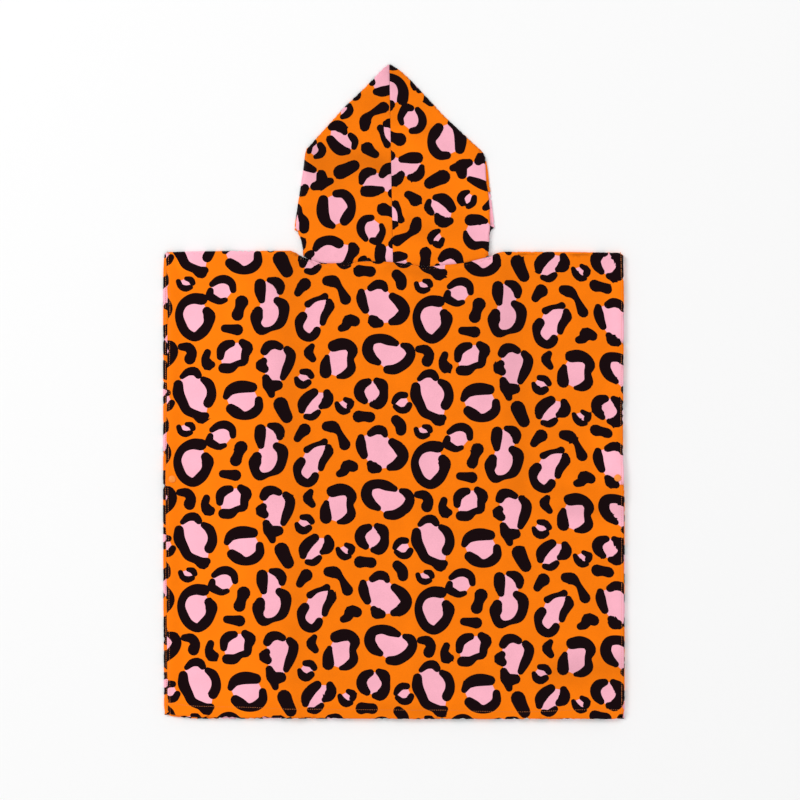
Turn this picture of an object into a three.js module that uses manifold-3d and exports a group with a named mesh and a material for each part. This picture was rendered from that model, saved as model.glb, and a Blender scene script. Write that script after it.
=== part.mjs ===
// A child's hooded bath poncho in printed towelling, laid flat on its front, seen from the back.
// Sizes are in millimetres. +Y goes to the hood's tip, +Z goes up from the surface it lies on,
// and x = 0 is the middle of the body. The surface is z = 0.

import * as THREE from "three";
import { mergeVertices } from "three/addons/utils/BufferGeometryUtils.js";
import Module from "manifold-3d";

const wasm = await Module();
wasm.setup();

// Driving sizes
const WIDTH = 650; // across the body
const LENGTH = 921; // from the bottom hem to the hood's tip
const CLOTH = 1.8; // thickness of the towelling
const SEAM_GAP = 0.3; // between two pieces at a seam, and between two layers
const BOTTOM_HEM = 15; // turned up once along both bottoms
const SIDE_HEM = 4; // narrow turned hem along the side edges
const FACE_HEM = 15; // turned hem round the face opening
const HEM_STEP = 0.8; // over this the turned cloth ends
const EDGE_ROUND = 1.2; // how far in an edge is rounded
const EDGE_SHARE = 0.44; // the share of its thickness that an edge keeps
const BACK_TOP = 2 * CLOTH + SEAM_GAP; // the back layer's outer face, where it lies on the front

const RIGHT = WIDTH / 2;
const LEFT = -RIGHT;
const TOP = LENGTH / 2;
const BOTTOM = -TOP;
const SHOULDER = 197; // the height of the shoulder fold, when it is straight

// How far each edge of the body lies inside the overall width, going down the garment.
// The front layer peeks out past the back layer along the left side.
const SIDE_EDGES = [
  { y: 197, backLeft: 4.4, frontLeft: 1.6, backRight: 2.4, frontRight: 3.2 },
  { y: 165, backLeft: 5.2, frontLeft: 0.2, backRight: 1.8, frontRight: 3.0 },
  { y: 129, backLeft: 6.6, frontLeft: 0, backRight: 1.4, frontRight: 2.6 },
  { y: -75, backLeft: 4.8, frontLeft: 0, backRight: 2.6, frontRight: 2.8 },
  { y: -124, backLeft: 4.0, frontLeft: 0, backRight: 1.6, frontRight: 1.2 },
  { y: -152, backLeft: 4.2, frontLeft: 0, backRight: 1.4, frontRight: 0 },
  { y: -441, backLeft: 6.9, frontLeft: 1.3, backRight: 1.2, frontRight: 0 },
  { y: -461, backLeft: 7.2, frontLeft: 1.5, backRight: 1.2, frontRight: 0 },
];

// The shoulder fold dips on each side where the neck seam pulls it in.
const SHOULDER_LINE = [
  { x: -325, y: 195.5 },
  { x: -312, y: 197.0 },
  { x: -144, y: 198.6 },
  { x: -138, y: 196.2 },
  { x: -131, y: 190.8 },
  { x: -100, y: 193.0 },
  { x: 100, y: 193.0 },
  { x: 135, y: 190.4 },
  { x: 143, y: 194.6 },
  { x: 155, y: 197.2 },
  { x: 316, y: 195.8 },
  { x: 325, y: 194.0 },
];

// The bottom edges rise a little at the left corner, where the back layer ends above the front.
const BOTTOM_LINE = [
  { x: -325, back: -452.2, front: -455.0 },
  { x: -300, back: -455.9, front: -458.6 },
  { x: -276, back: -458.0, front: -460.5 },
  { x: -150, back: -458.9, front: -460.5 },
  { x: 50, back: -460.5, front: -460.5 },
  { x: 325, back: -460.5, front: -460.5 },
];

// The neck seam across the back, and across the front, from one neck corner to the other.
const NECK_LEFT = -129.5;
const NECK_RIGHT = 134.8;
const BACK_NECK = [
  { x: -129.5, y: 190.2 },
  { x: -111, y: 183.6 },
  { x: -95, y: 180.8 },
  { x: -62, y: 181.6 },
  { x: -38, y: 183.6 },
  { x: -10, y: 183.0 },
  { x: 49, y: 176.4 },
  { x: 73, y: 178.8 },
  { x: 95, y: 180.8 },
  { x: 116, y: 185.6 },
  { x: 134.8, y: 190.2 },
];
const FRONT_NECK_LOW = 170; // the front neck seam at the middle
const FRONT_NECK_HIGH = 190.2; // and at the neck corners
const FRONT_NECK_POWER = 2.2;
const BETWEEN_LAYERS = 2 * CLOTH + 0.2; // a height between the two layers at the neck
const PAST_NECK = 4; // the hood's grid runs this far past the neck line and is cut back to it
const UNDER_ALL = -5; // heights below and above the whole part, for cutters
const OVER_ALL = 20;

// The hood's two seams lie on one line that leans a little to the left.
const HOOD_SEAM = [
  { y: 165, x: -1.0 },
  { y: TOP, x: -6.5 },
];

// Where each half of the hood folds, and how far the front flap under it reaches.
const HOOD_LEFT_SIDE = [
  { y: 192, fold: -127.3, flap: -127.9 },
  { y: 201, fold: -127.9, flap: -128.5 },
  { y: 224, fold: -134.6, flap: -135.6 },
  { y: 228.6, fold: -137.2, flap: -140.3 },
  { y: 233, fold: -137.8, flap: -139.8 },
  { y: 254, fold: -134.8, flap: -136.8 },
  { y: 318, fold: -125.1, flap: -127.0 },
  { y: 341, fold: -122.6, flap: -123.8 },
  { y: 348, fold: -117.0, flap: -117.6 },
  { y: 378.6, fold: -89.6, flap: -90.2 },
  { y: 403, fold: -67.2, flap: -67.8 },
  { y: 433, fold: -36.0, flap: -36.6 },
  { y: 458.6, fold: -11.2, flap: -11.8 },
  { y: TOP, fold: -8.6, flap: -9.2 },
];
const HOOD_RIGHT_SIDE = [
  { y: 192, fold: 133.1, flap: 133.7 },
  { y: 208, fold: 133.8, flap: 134.4 },
  { y: 222, fold: 134.4, flap: 135.2 },
  { y: 228.6, fold: 135.6, flap: 137.4 },
  { y: 231.4, fold: 135.8, flap: 141.6 },
  { y: 254, fold: 134.9, flap: 139.0 },
  { y: 279, fold: 133.2, flap: 136.4 },
  { y: 294, fold: 130.3, flap: 134.4 },
  { y: 321, fold: 127.8, flap: 131.0 },
  { y: 332, fold: 127.0, flap: 128.2 },
  { y: 356, fold: 105.4, flap: 106.0 },
  { y: 382.7, fold: 76.5, flap: 77.1 },
  { y: 424, fold: 37.3, flap: 37.9 },
  { y: 451, fold: 10.4, flap: 11.0 },
  { y: TOP, fold: -3.6, flap: -3.0 },
];

// The face opening, in the hood's lower layer: its hem, and the edge that runs to the front neck.
const FACE_HEM_Y = 231;
const FACE_CORNER = 133; // from the middle to the opening's corner
const FACE_LOW_Y = 179; // its lowest point, at the middle
const FACE_CUT_TOP = 2 * CLOTH + SEAM_GAP / 2;
const PAST_SEAM = 5; // its cutter runs this far over the hood's middle seam

// How far the back layer stands higher than its plain height, along the garment: the shoulder's
// rounded fold, the seam allowances at the neck, and the hood's hem that lies under it.
const STANDS_HIGHER = [
  { y: 150, rise: 0 },
  { y: 181, rise: 2.0 },
  { y: SHOULDER, rise: 2.6 },
  { y: 214, rise: 2.1 },
  { y: 247, rise: 2.1 },
  { y: 279, rise: 0 },
];

// The soft folds that the cloth keeps, each a low ridge along a line.
const SOFT_FOLDS = [
  { x0: -139, y0: 175, x1: -146, y1: -470, spread: 15, height: 2.6 },
  { x0: 22, y0: 150, x1: 30, y1: -440, spread: 16, height: 2.0 },
  { x0: 148, y0: 185, x1: 170, y1: -120, spread: 19, height: 3.0 },
  { x0: 205, y0: -128, x1: 300, y1: -134, spread: 13, height: 2.2 },
  { x0: -250, y0: 60, x1: -215, y1: -330, spread: 26, height: 1.6 },
  { x0: 262, y0: -300, x1: 300, y1: -400, spread: 22, height: 1.8 },
  { x0: -112, y0: 322, x1: -8, y1: 290, spread: 15, height: 2.4 },
  { x0: 18, y0: 236, x1: 52, y1: 200, spread: 13, height: 2.0 },
  { x0: 60, y0: 345, x1: 88, y1: 262, spread: 18, height: 1.8 },
];

// The two poppers, 10 mm press studs near the side edges.
const POPPERS = [
  { name: "popper_left", x: -311.5, y: -122.7 },
  { name: "popper_right", x: 314.4, y: -121.0 },
];
const CAP_RADIUS = 5;
const RING_RADIUS = 4.3;
const POST_RADIUS = 1.6;
const POST_HOLE = POST_RADIUS + SEAM_GAP;
const CAP_THICKNESS = 1.2;
const FRONT_SEAT = CAP_THICKNESS + SEAM_GAP; // the front layer's outer face on its cap
const STUD_RING = FRONT_SEAT + CLOTH + SEAM_GAP; // where the stud's ring starts
const RING_THICKNESS = 0.9;
const NUB_HEIGHT = 1.4;
const NUB_RADIUS = 2.1;
const SOCKET_RING = STUD_RING + RING_THICKNESS + SEAM_GAP;
const SOCKET_THICKNESS = 2.2;
const BACK_SEAT = SOCKET_RING + SOCKET_THICKNESS + SEAM_GAP + CLOTH; // the back layer's outer face
const SEAT_FLAT = 14; // the cloth is flat within this distance of a popper's middle
const SEAT_END = 42; // and back at its own height from here
const TURN_STEPS = 18; // sides of a turned piece
const HOLE_STEPS = 12; // sides of a hole for a post

// The back layer comes down from the turned hems over an easy slope.
const SIDE_SLOPE_END = 24;
const BOTTOM_SLOPE_END = 46;

// The grid of the body: distances in from each side edge, and columns between them
const EDGE_COLUMNS = [0, EDGE_ROUND, SIDE_HEM, SIDE_HEM + HEM_STEP, 16, 27, 42];
const MIDDLE_COLUMNS = [
  -238, -200, -170, -154, -144, -138, -131, -114, -70, -22, 6, 24, 42, 78, 112, 135, 143, 155, 170,
  196, 238,
];
const HEM_ROWS = [0, EDGE_ROUND, BOTTOM_HEM, BOTTOM_HEM + HEM_STEP, 30, BOTTOM_SLOPE_END];
const POPPER_ROWS = [-160, -140, -127.5, -116, -102, -82];
const BACK_ROWS = [-360, -270, -205, ...POPPER_ROWS, -30, 40, 110, 150, 178];
const FRONT_ROWS = [178, 110, -30, ...POPPER_ROWS.toReversed(), -240, -340];
const FRONT_HEM_ROWS = [BOTTOM_HEM + HEM_STEP, BOTTOM_HEM, EDGE_ROUND, 0];
const FOLD_ANGLES = [60, 30, 0, -30, -60];
const LINE_FADE = 70; // a wavy edge is felt this far in

// Small helpers
function lerp(a, b, part) {
  return a + (b - a) * part;
}

function smooth(from, to, value) {
  const part = THREE.MathUtils.clamp((value - from) / (to - from), 0, 1);
  return part * part * (3 - 2 * part);
}

function straight(from, to, value) {
  return (value - from) / (to - from);
}

// Reads a column of a table at a place between its rows, straight or with smooth ends.
function readTable(rows, key, place, column, ease = straight) {
  const order = Math.sign(rows[1][key] - rows[0][key]);
  const ahead = rows.findIndex((row) => (row[key] - place) * order >= 0);
  if (ahead === 0) return rows[0][column];
  if (ahead < 0) return rows.at(-1)[column];
  const a = rows[ahead - 1];
  const b = rows[ahead];
  return lerp(a[column], b[column], ease(a[key], b[key], place));
}

// A geometry of plain triangles that face outwards.
function closedGeometry(points, faces) {
  const geometry = new THREE.BufferGeometry();
  geometry.setAttribute("position", new THREE.Float32BufferAttribute(points.flat(), 3));
  geometry.setIndex(faces);
  const corners = [0, 1, 2].map(() => new THREE.Vector3());
  let sixVolumes = 0;
  for (let i = 0; i < faces.length; i += 3) {
    corners.forEach((corner, k) => corner.fromArray(points[faces[i + k]]));
    sixVolumes += corners[0].dot(corners[1].cross(corners[2]));
  }
  if (sixVolumes < 0) {
    for (let i = 0; i < faces.length; i += 3) [faces[i], faces[i + 1]] = [faces[i + 1], faces[i]];
    geometry.setIndex(faces);
  }
  return geometry;
}

// A wall of cloth from a grid of pairs of points, outer and inner, closed along its four borders.
function clothWall(grid) {
  const rows = grid.length;
  const columns = grid[0].length;
  const pairs = grid.flat();
  const points = [...pairs.map((pair) => pair.outer), ...pairs.map((pair) => pair.inner)];
  const faces = [];
  const out = (r, c) => r * columns + c;
  const into = (r, c) => rows * columns + r * columns + c;
  const quad = (a, b, c, d) => faces.push(a, b, c, a, c, d);
  for (let r = 0; r + 1 < rows; r += 1) {
    for (let c = 0; c + 1 < columns; c += 1) {
      quad(out(r, c), out(r, c + 1), out(r + 1, c + 1), out(r + 1, c));
      quad(into(r, c), into(r + 1, c), into(r + 1, c + 1), into(r, c + 1));
    }
    quad(out(r, 0), out(r + 1, 0), into(r + 1, 0), into(r, 0));
    const last = columns - 1;
    quad(out(r, last), into(r, last), into(r + 1, last), out(r + 1, last));
  }
  for (let c = 0; c + 1 < columns; c += 1) {
    quad(out(0, c), into(0, c), into(0, c + 1), out(0, c + 1));
    const last = rows - 1;
    quad(out(last, c), out(last, c + 1), into(last, c + 1), into(last, c));
  }
  return closedGeometry(points, faces);
}

function solidOf(geometry) {
  const bare = geometry.clone();
  bare.deleteAttribute("normal");
  bare.deleteAttribute("uv");
  const merged = mergeVertices(bare, 1e-4);
  return new wasm.Manifold(
    new wasm.Mesh({
      numProp: 3,
      vertProperties: new Float32Array(merged.attributes.position.array),
      triVerts: new Uint32Array(merged.index.array),
    }),
  );
}

function geometryOf(solid) {
  const mesh = solid.getMesh();
  const geometry = new THREE.BufferGeometry();
  geometry.setAttribute("position", new THREE.BufferAttribute(mesh.vertProperties, 3));
  geometry.setIndex(new THREE.BufferAttribute(mesh.triVerts, 1));
  return geometry;
}

// A straight-sided cutter over an outline in the plan, from one height to another.
function cutter(outline, low, high) {
  const shape = new THREE.Shape(outline.map(([x, y]) => new THREE.Vector2(x, y)));
  const block = new THREE.ExtrudeGeometry(shape, { depth: high - low, bevelEnabled: false });
  block.translate(0, 0, low);
  return solidOf(block);
}

// Heights of the layers
function softFolds(x, y) {
  let height = 0;
  for (const fold of SOFT_FOLDS) {
    const alongX = fold.x1 - fold.x0;
    const alongY = fold.y1 - fold.y0;
    const span = alongX * alongX + alongY * alongY;
    const part = ((x - fold.x0) * alongX + (y - fold.y0) * alongY) / span;
    const held = THREE.MathUtils.clamp(part, 0, 1);
    const away = Math.hypot(x - fold.x0 - held * alongX, y - fold.y0 - held * alongY);
    height += fold.height * Math.exp(-((away / fold.spread) ** 2));
  }
  return height;
}

function popperSeat(x, y) {
  const away = Math.min(...POPPERS.map((popper) => Math.hypot(x - popper.x, y - popper.y)));
  return 1 - smooth(SEAT_FLAT, SEAT_END, away);
}

// The back layer's outer face. It covers the turned hems of both layers with an easy slope.
function backHeight(x, y, fromSide, fromBottom) {
  const offSide = smooth(SIDE_HEM + HEM_STEP, SIDE_SLOPE_END, fromSide);
  const offBottom = smooth(BOTTOM_HEM + HEM_STEP, BOTTOM_SLOPE_END, fromBottom);
  const hems = 2 * CLOTH * (1 - offSide * offBottom);
  const rise = readTable(STANDS_HIGHER, "y", y, "rise", smooth);
  const plain = BACK_TOP + Math.max(hems, rise) + softFolds(x, y);
  return lerp(plain, BACK_SEAT, popperSeat(x, y));
}

function turnedHem(distance, width) {
  return 1 - smooth(width, width + HEM_STEP, distance);
}

function bodyThickness(fromSide, fromBottom) {
  return CLOTH * (1 + Math.max(turnedHem(fromSide, SIDE_HEM), turnedHem(fromBottom, BOTTOM_HEM)));
}

// The body's grid
function sideX(y, layer, side) {
  const inset = readTable(SIDE_EDGES, "y", y, layer + side);
  return side === "Left" ? LEFT + inset : RIGHT - inset;
}

const COLUMNS = [
  ...EDGE_COLUMNS.map((distance) => ({ side: "Left", distance })),
  ...MIDDLE_COLUMNS.map((x) => ({ x })),
  ...EDGE_COLUMNS.toReversed().map((distance) => ({ side: "Right", distance })),
];

function columnX(column, y, layer) {
  if (column.side === "Left") return sideX(y, layer, "Left") + column.distance;
  if (column.side === "Right") return sideX(y, layer, "Right") - column.distance;
  return column.x;
}

// A row's height in the plan follows the bottom line or the shoulder line when it is near one.
function rowY(x, y, layer) {
  const nearBottom = 1 - smooth(0, LINE_FADE, y - BOTTOM);
  const nearShoulder = 1 - smooth(0, LINE_FADE, SHOULDER - y);
  const bottomShift = readTable(BOTTOM_LINE, "x", x, layer) - BOTTOM;
  const shoulderShift = readTable(SHOULDER_LINE, "x", x, "y") - SHOULDER;
  return y + nearBottom * bottomShift + nearShoulder * shoulderShift;
}

// A pair of points, outer and inner, across the cloth at a point of its middle.
function acrossCloth(middle, outwards, thickness, isEdge) {
  const reach = (thickness / 2) * (isEdge ? EDGE_SHARE : 1);
  return {
    outer: middle.map((value, axis) => value + outwards[axis] * reach),
    inner: middle.map((value, axis) => value - outwards[axis] * reach),
  };
}

function layerPair(column, rowPlace, layer) {
  const x = columnX(column, rowPlace, layer);
  const y = rowY(x, rowPlace, layer);
  const fromSide = column.distance ?? Infinity;
  const fromBottom = rowPlace - BOTTOM;
  const thickness = bodyThickness(fromSide, fromBottom);
  const isEdge = fromSide === 0 || fromBottom === 0;
  if (layer === "back") {
    const height = backHeight(x, y, fromSide, fromBottom);
    return acrossCloth([x, y, height - thickness / 2], [0, 0, 1], thickness, isEdge);
  }
  const height = FRONT_SEAT * popperSeat(x, y);
  return acrossCloth([x, y, height + thickness / 2], [0, 0, -1], thickness, isEdge);
}

// The rounded shoulder fold, a half circle from the back layer's face to the front layer's.
function foldPair(column, angle) {
  const down = (90 - angle) / 180;
  const backX = columnX(column, SHOULDER, "back");
  const frontX = columnX(column, SHOULDER, "front");
  const x = lerp(backX, frontX, down);
  const fromSide = column.distance ?? Infinity;
  const shoulderY = readTable(SHOULDER_LINE, "x", x, "y");
  const radius = backHeight(x, shoulderY, fromSide, Infinity) / 2;
  const thickness = bodyThickness(fromSide, Infinity);
  const turn = THREE.MathUtils.degToRad(angle);
  const outwards = [0, Math.cos(turn), Math.sin(turn)];
  const centre = [x, shoulderY - radius, radius];
  const middle = centre.map((value, axis) => value + outwards[axis] * (radius - thickness / 2));
  return acrossCloth(middle, outwards, thickness, fromSide === 0);
}

function backNeck(x) {
  return readTable(BACK_NECK, "x", x, "y");
}

function frontNeck(x) {
  const middle = (NECK_LEFT + NECK_RIGHT) / 2;
  const part = Math.abs((x - middle) / (NECK_RIGHT - middle));
  return lerp(FRONT_NECK_LOW, FRONT_NECK_HIGH, Math.min(part, 1) ** FRONT_NECK_POWER);
}

// Everything above a neck line, which the body loses, or below it, which the hood loses.
function pastNeck(piece, heightAt, low, high) {
  const isBody = piece === "body";
  const line = BACK_NECK.map(({ x }) => [x, heightAt(x) + (isBody ? -SEAM_GAP : SEAM_GAP) / 2]);
  const farY = isBody ? TOP : 0;
  return cutter([...line, [NECK_RIGHT, farY], [NECK_LEFT, farY]], low, high);
}

// The back layer is cut along the back neck line and the front layer along the front one.
function cutNeck(solid, piece) {
  return solid
    .subtract(pastNeck(piece, backNeck, BETWEEN_LAYERS - SEAM_GAP / 2, OVER_ALL))
    .subtract(pastNeck(piece, frontNeck, UNDER_ALL, BETWEEN_LAYERS));
}

function postHole(popper) {
  const hole = new THREE.CylinderGeometry(POST_HOLE, POST_HOLE, 2 * OVER_ALL, HOLE_STEPS);
  hole.rotateX(Math.PI / 2);
  hole.translate(popper.x, popper.y, 0);
  return solidOf(hole);
}

function bodyGeometry() {
  const places = [
    ...HEM_ROWS.map((distance) => ({ y: BOTTOM + distance, layer: "back" })),
    ...BACK_ROWS.map((y) => ({ y, layer: "back" })),
    ...[90, ...FOLD_ANGLES, -90].map((angle) => ({ angle })),
    ...FRONT_ROWS.map((y) => ({ y, layer: "front" })),
    ...FRONT_HEM_ROWS.map((distance) => ({ y: BOTTOM + distance, layer: "front" })),
  ];
  const wall = clothWall(
    places.map((place) =>
      COLUMNS.map((column) =>
        place.layer ? layerPair(column, place.y, place.layer) : foldPair(column, place.angle),
      ),
    ),
  );
  let solid = cutNeck(solidOf(wall), "body");
  for (const popper of POPPERS) solid = solid.subtract(postHole(popper));
  return geometryOf(solid);
}

// The hood's halves
const BACK_PARTS = [0, 0.03, 0.16, 0.3, 0.44, 0.58, 0.72, 0.86, 1]; // from the seam to the bend
const BEND_ANGLES = [60, 30, 0];
const UNDER_PARTS = [1, 0.82, 0.6, 0.4, 0.2, 0]; // from the flap back to the seam
const EXTRA_ROWS = [214, 247, 263, 279, 302];
const NECK_PARTS = [0, 0.5]; // rows between the neck line and the first full row
const BEND_SHARE = 0.4; // the bend takes at most this share of a half's width
const INNER_BEND = 0.5; // the inner face's bend against the outer face's
const INNER_LAG = 0.2; // the inner face bends this share of a cloth earlier
const FLAP_ROUND = CLOTH / 2;
const SHELF_TOP = CLOTH + 0.1; // the flap's face beside the fold
const SHELF_DROP = 0.3; // how far it drops to its rim
const INNER_RIM = [
  { share: 0.45, rise: -0.03 },
  { share: 0.3, rise: 0 },
  { share: 0.15, rise: 0.03 },
  { share: 0, rise: 0.06 },
];

function seamX(y) {
  return readTable(HOOD_SEAM, "y", y, "x");
}

function hoodHeight(x, y) {
  return backHeight(x, y, Infinity, Infinity);
}

// How far a point of the lower layer is from the face opening.
function fromFace(x, y) {
  if (y >= FACE_HEM_Y) return y - FACE_HEM_Y;
  const across = Math.min(Math.abs(x) / FACE_CORNER, 1);
  return Math.max(lerp(FACE_LOW_Y, FACE_HEM_Y, across) - y, 0);
}

// Where a half's section turns. sideways is -1 for the left half and 1 for the right half.
function hoodMarks(side, sideways, y) {
  const fold = readTable(side, "y", y, "fold");
  const flap = readTable(side, "y", y, "flap");
  const seam = seamX(y) + (sideways * SEAM_GAP) / 2;
  const wide = Math.abs(fold - seam);
  const foldHeight = hoodHeight(fold, y);
  const across = Math.min(foldHeight / 2, BEND_SHARE * wide);
  const inset = Math.min(CLOTH, wide / 2);
  const bend = fold - sideways * across;
  const innerBend = bend - sideways * INNER_LAG * inset;
  return { sideways, fold, flap, seam, foldHeight, across, inset, bend, innerBend };
}

// Each stretch of a section is a list of pairs of places across and up, on a layer of the body.
// The back layer runs from the centre back seam out to the bend.
function backStretch(marks, yAt) {
  return BACK_PARTS.map((part) => {
    const x = lerp(marks.seam, marks.bend, part);
    const innerX = lerp(marks.seam, marks.innerBend, part);
    const outer = [x, hoodHeight(x, yAt(x, "back"))];
    const inner = [innerX, hoodHeight(innerX, yAt(innerX, "back")) - CLOTH];
    return { layer: "back", outer, inner };
  });
}

// The bend is a quarter round outside and a tighter one inside.
function bendStretch(marks) {
  const hollow = Math.max(marks.foldHeight - 2 * CLOTH, SEAM_GAP) / 2;
  return BEND_ANGLES.map((angle) => {
    const turn = THREE.MathUtils.degToRad(angle);
    const reach = marks.sideways * marks.across * Math.cos(turn);
    const outer = [marks.bend + reach, (marks.foldHeight * (1 + Math.sin(turn))) / 2];
    const inner = [marks.innerBend + INNER_BEND * reach, CLOTH + hollow * (1 + Math.sin(turn))];
    return { layer: "back", outer, inner };
  });
}

// The flap shows as a narrow shelf past the fold, with a round rim.
function rimStretch(marks) {
  const shelf = marks.flap - (marks.sideways * FLAP_ROUND) / 2;
  const rim = [
    [marks.fold, SHELF_TOP],
    [shelf, SHELF_TOP - SHELF_DROP],
    [marks.flap, FLAP_ROUND],
    [shelf, 0],
  ];
  return rim.map((outer, i) => {
    const { share, rise } = INNER_RIM[i];
    const inner = [marks.innerBend + marks.sideways * share * marks.across, CLOTH + rise];
    return { layer: "front", outer, inner };
  });
}

// The lower layer goes back to the crown seam, with a turned hem round the face.
function underStretch(marks, yAt) {
  const start = marks.flap - marks.sideways * (FLAP_ROUND / 2 + marks.inset);
  const innerStart = marks.innerBend - (marks.sideways * marks.inset) / 2;
  return UNDER_PARTS.map((part) => {
    const innerX = lerp(marks.seam, innerStart, part);
    const hem = turnedHem(fromFace(innerX, yAt(innerX, "front")), FACE_HEM);
    const outer = [lerp(marks.seam, start, part), 0];
    return { layer: "front", outer, inner: [innerX, CLOTH * (1 + hem)] };
  });
}

// One row of a half. A row at the neck bends towards the neck line of each layer.
function hoodRow(side, sideways, place) {
  const yAt = (x, layer) => {
    if (place.neckPart === undefined) return place.y;
    const neck = (layer === "back" ? backNeck(x) : frontNeck(x)) - PAST_NECK;
    return lerp(neck, place.y, place.neckPart);
  };
  const marks = hoodMarks(side, sideways, place.y);
  const section = [
    ...backStretch(marks, yAt),
    ...bendStretch(marks),
    ...rimStretch(marks),
    ...underStretch(marks, yAt),
  ];
  const raise = ([x, z], layer) => [x, yAt(x, layer), z];
  return section.map(({ layer, outer, inner }) => ({
    outer: raise(outer, layer),
    inner: raise(inner, layer),
  }));
}

function hoodGeometry(side, sideways) {
  const [, first, ...others] = side.map((row) => row.y);
  const heights = [first, ...others, ...EXTRA_ROWS].sort((a, b) => a - b);
  const places = [
    ...NECK_PARTS.map((neckPart) => ({ y: first, neckPart })),
    ...heights.map((y) => ({ y })),
  ];
  const wall = clothWall(places.map((place) => hoodRow(side, sideways, place)));
  const past = seamX(FACE_HEM_Y) - PAST_SEAM * sideways;
  const opening = [
    [past, FACE_HEM_Y],
    [sideways * FACE_CORNER, FACE_HEM_Y],
    [past, FACE_LOW_Y],
  ];
  if (sideways < 0) opening.reverse();
  const opened = solidOf(wall).subtract(cutter(opening, UNDER_ALL, FACE_CUT_TOP));
  return geometryOf(cutNeck(opened, "hood"));
}

// A turned plastic piece on a popper's axis, from its profile of radius and height.
function turned(profile, popper) {
  const points = profile.map(([radius, height]) => new THREE.Vector2(radius, height));
  const geometry = new THREE.LatheGeometry(points, TURN_STEPS);
  geometry.rotateX(Math.PI / 2);
  geometry.translate(popper.x, popper.y, 0);
  return geometryOf(solidOf(geometry));
}

// The half through the front layer: its cap lies on the surface and its nub points up.
function studGeometry(popper) {
  const ringTop = STUD_RING + RING_THICKNESS;
  return turned(
    [
      [0, 0],
      [CAP_RADIUS - 1.2, 0],
      [CAP_RADIUS - 0.3, 0.3],
      [CAP_RADIUS, 0.8],
      [CAP_RADIUS - 0.2, CAP_THICKNESS],
      [POST_RADIUS, CAP_THICKNESS],
      [POST_RADIUS, STUD_RING],
      [RING_RADIUS, STUD_RING],
      [RING_RADIUS, ringTop],
      [NUB_RADIUS - 0.2, ringTop],
      [NUB_RADIUS, ringTop + 0.6 * NUB_HEIGHT],
      [NUB_RADIUS - 0.4, ringTop + NUB_HEIGHT],
      [0, ringTop + NUB_HEIGHT],
    ],
    popper,
  );
}

// The half through the back layer: its ring holds the nub and its cap shows on top.
function socketGeometry(popper) {
  const ringTop = SOCKET_RING + SOCKET_THICKNESS;
  const hollow = NUB_RADIUS + SEAM_GAP;
  const hollowTop = STUD_RING + RING_THICKNESS + NUB_HEIGHT + SEAM_GAP;
  const capFoot = BACK_SEAT + SEAM_GAP;
  return turned(
    [
      [0, hollowTop],
      [hollow, hollowTop],
      [hollow, SOCKET_RING],
      [RING_RADIUS, SOCKET_RING],
      [RING_RADIUS, ringTop],
      [POST_RADIUS, ringTop],
      [POST_RADIUS, capFoot],
      [CAP_RADIUS - 0.2, capFoot],
      [CAP_RADIUS, capFoot + 0.4],
      [CAP_RADIUS - 0.4, capFoot + 0.9],
      [CAP_RADIUS - 1.6, capFoot + 1.35],
      [0, capFoot + 1.5],
    ],
    popper,
  );
}

// The part
function towelling() {
  return new THREE.MeshStandardMaterial({ color: "#f87b14", roughness: 0.95, metalness: 0 });
}

function plastic() {
  return new THREE.MeshStandardMaterial({ color: "#ef7a1a", roughness: 0.35, metalness: 0 });
}

function add(group, name, geometry, material) {
  geometry.computeVertexNormals();
  const mesh = new THREE.Mesh(geometry, material);
  mesh.name = name;
  group.add(mesh);
}

const poncho = new THREE.Group();
poncho.name = "hooded_bath_poncho";
add(poncho, "body", bodyGeometry(), towelling());
add(poncho, "hood_left", hoodGeometry(HOOD_LEFT_SIDE, -1), towelling());
add(poncho, "hood_right", hoodGeometry(HOOD_RIGHT_SIDE, 1), towelling());
for (const popper of POPPERS) {
  add(poncho, `${popper.name}_stud`, studGeometry(popper), plastic());
  add(poncho, `${popper.name}_socket`, socketGeometry(popper), plastic());
}

export default poncho;
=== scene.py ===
# %% [markdown]
# # A child's hooded bath poncho, laid flat
# The real thing is one length of printed towelling, folded over at the shoulders, with a hood of two
# halves sewn into the neck and a popper at each side. It lies on its front and is seen from above.
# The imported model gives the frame: every piece made here stays where its plain solid is.

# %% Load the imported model
import math
from collections import namedtuple

import bpy
import numpy as np
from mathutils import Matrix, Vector
from mathutils.geometry import delaunay_2d_cdt


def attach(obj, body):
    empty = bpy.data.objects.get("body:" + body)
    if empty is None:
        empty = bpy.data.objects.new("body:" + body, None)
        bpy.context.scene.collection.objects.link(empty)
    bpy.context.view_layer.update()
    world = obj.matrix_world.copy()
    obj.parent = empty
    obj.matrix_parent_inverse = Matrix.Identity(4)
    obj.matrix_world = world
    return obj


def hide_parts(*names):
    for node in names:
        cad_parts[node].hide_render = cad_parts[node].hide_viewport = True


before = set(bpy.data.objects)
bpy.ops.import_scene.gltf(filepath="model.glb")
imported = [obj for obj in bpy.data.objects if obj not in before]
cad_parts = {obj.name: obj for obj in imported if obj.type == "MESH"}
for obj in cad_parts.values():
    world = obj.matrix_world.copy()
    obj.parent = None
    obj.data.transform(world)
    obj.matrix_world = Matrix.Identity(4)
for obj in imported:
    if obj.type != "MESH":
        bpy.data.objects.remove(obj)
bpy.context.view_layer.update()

# %% [markdown]
# ## The camera
# The picture was taken from straight above with a long lens, so there is almost no perspective.
# A lens length follows from how much cloth one pixel shows and how high the camera hangs.

# %% Hang the camera
MM = 0.001
PICTURE_PIXELS = 800
PIXEL = 1.409  # millimetres of cloth in a pixel: 650 mm over 461 pixels
PICTURE_MIDDLE = (8.6, -11.6)  # the place on the cloth in the middle of the picture, in millimetres
CAMERA_HEIGHT = 3200.0

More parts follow.
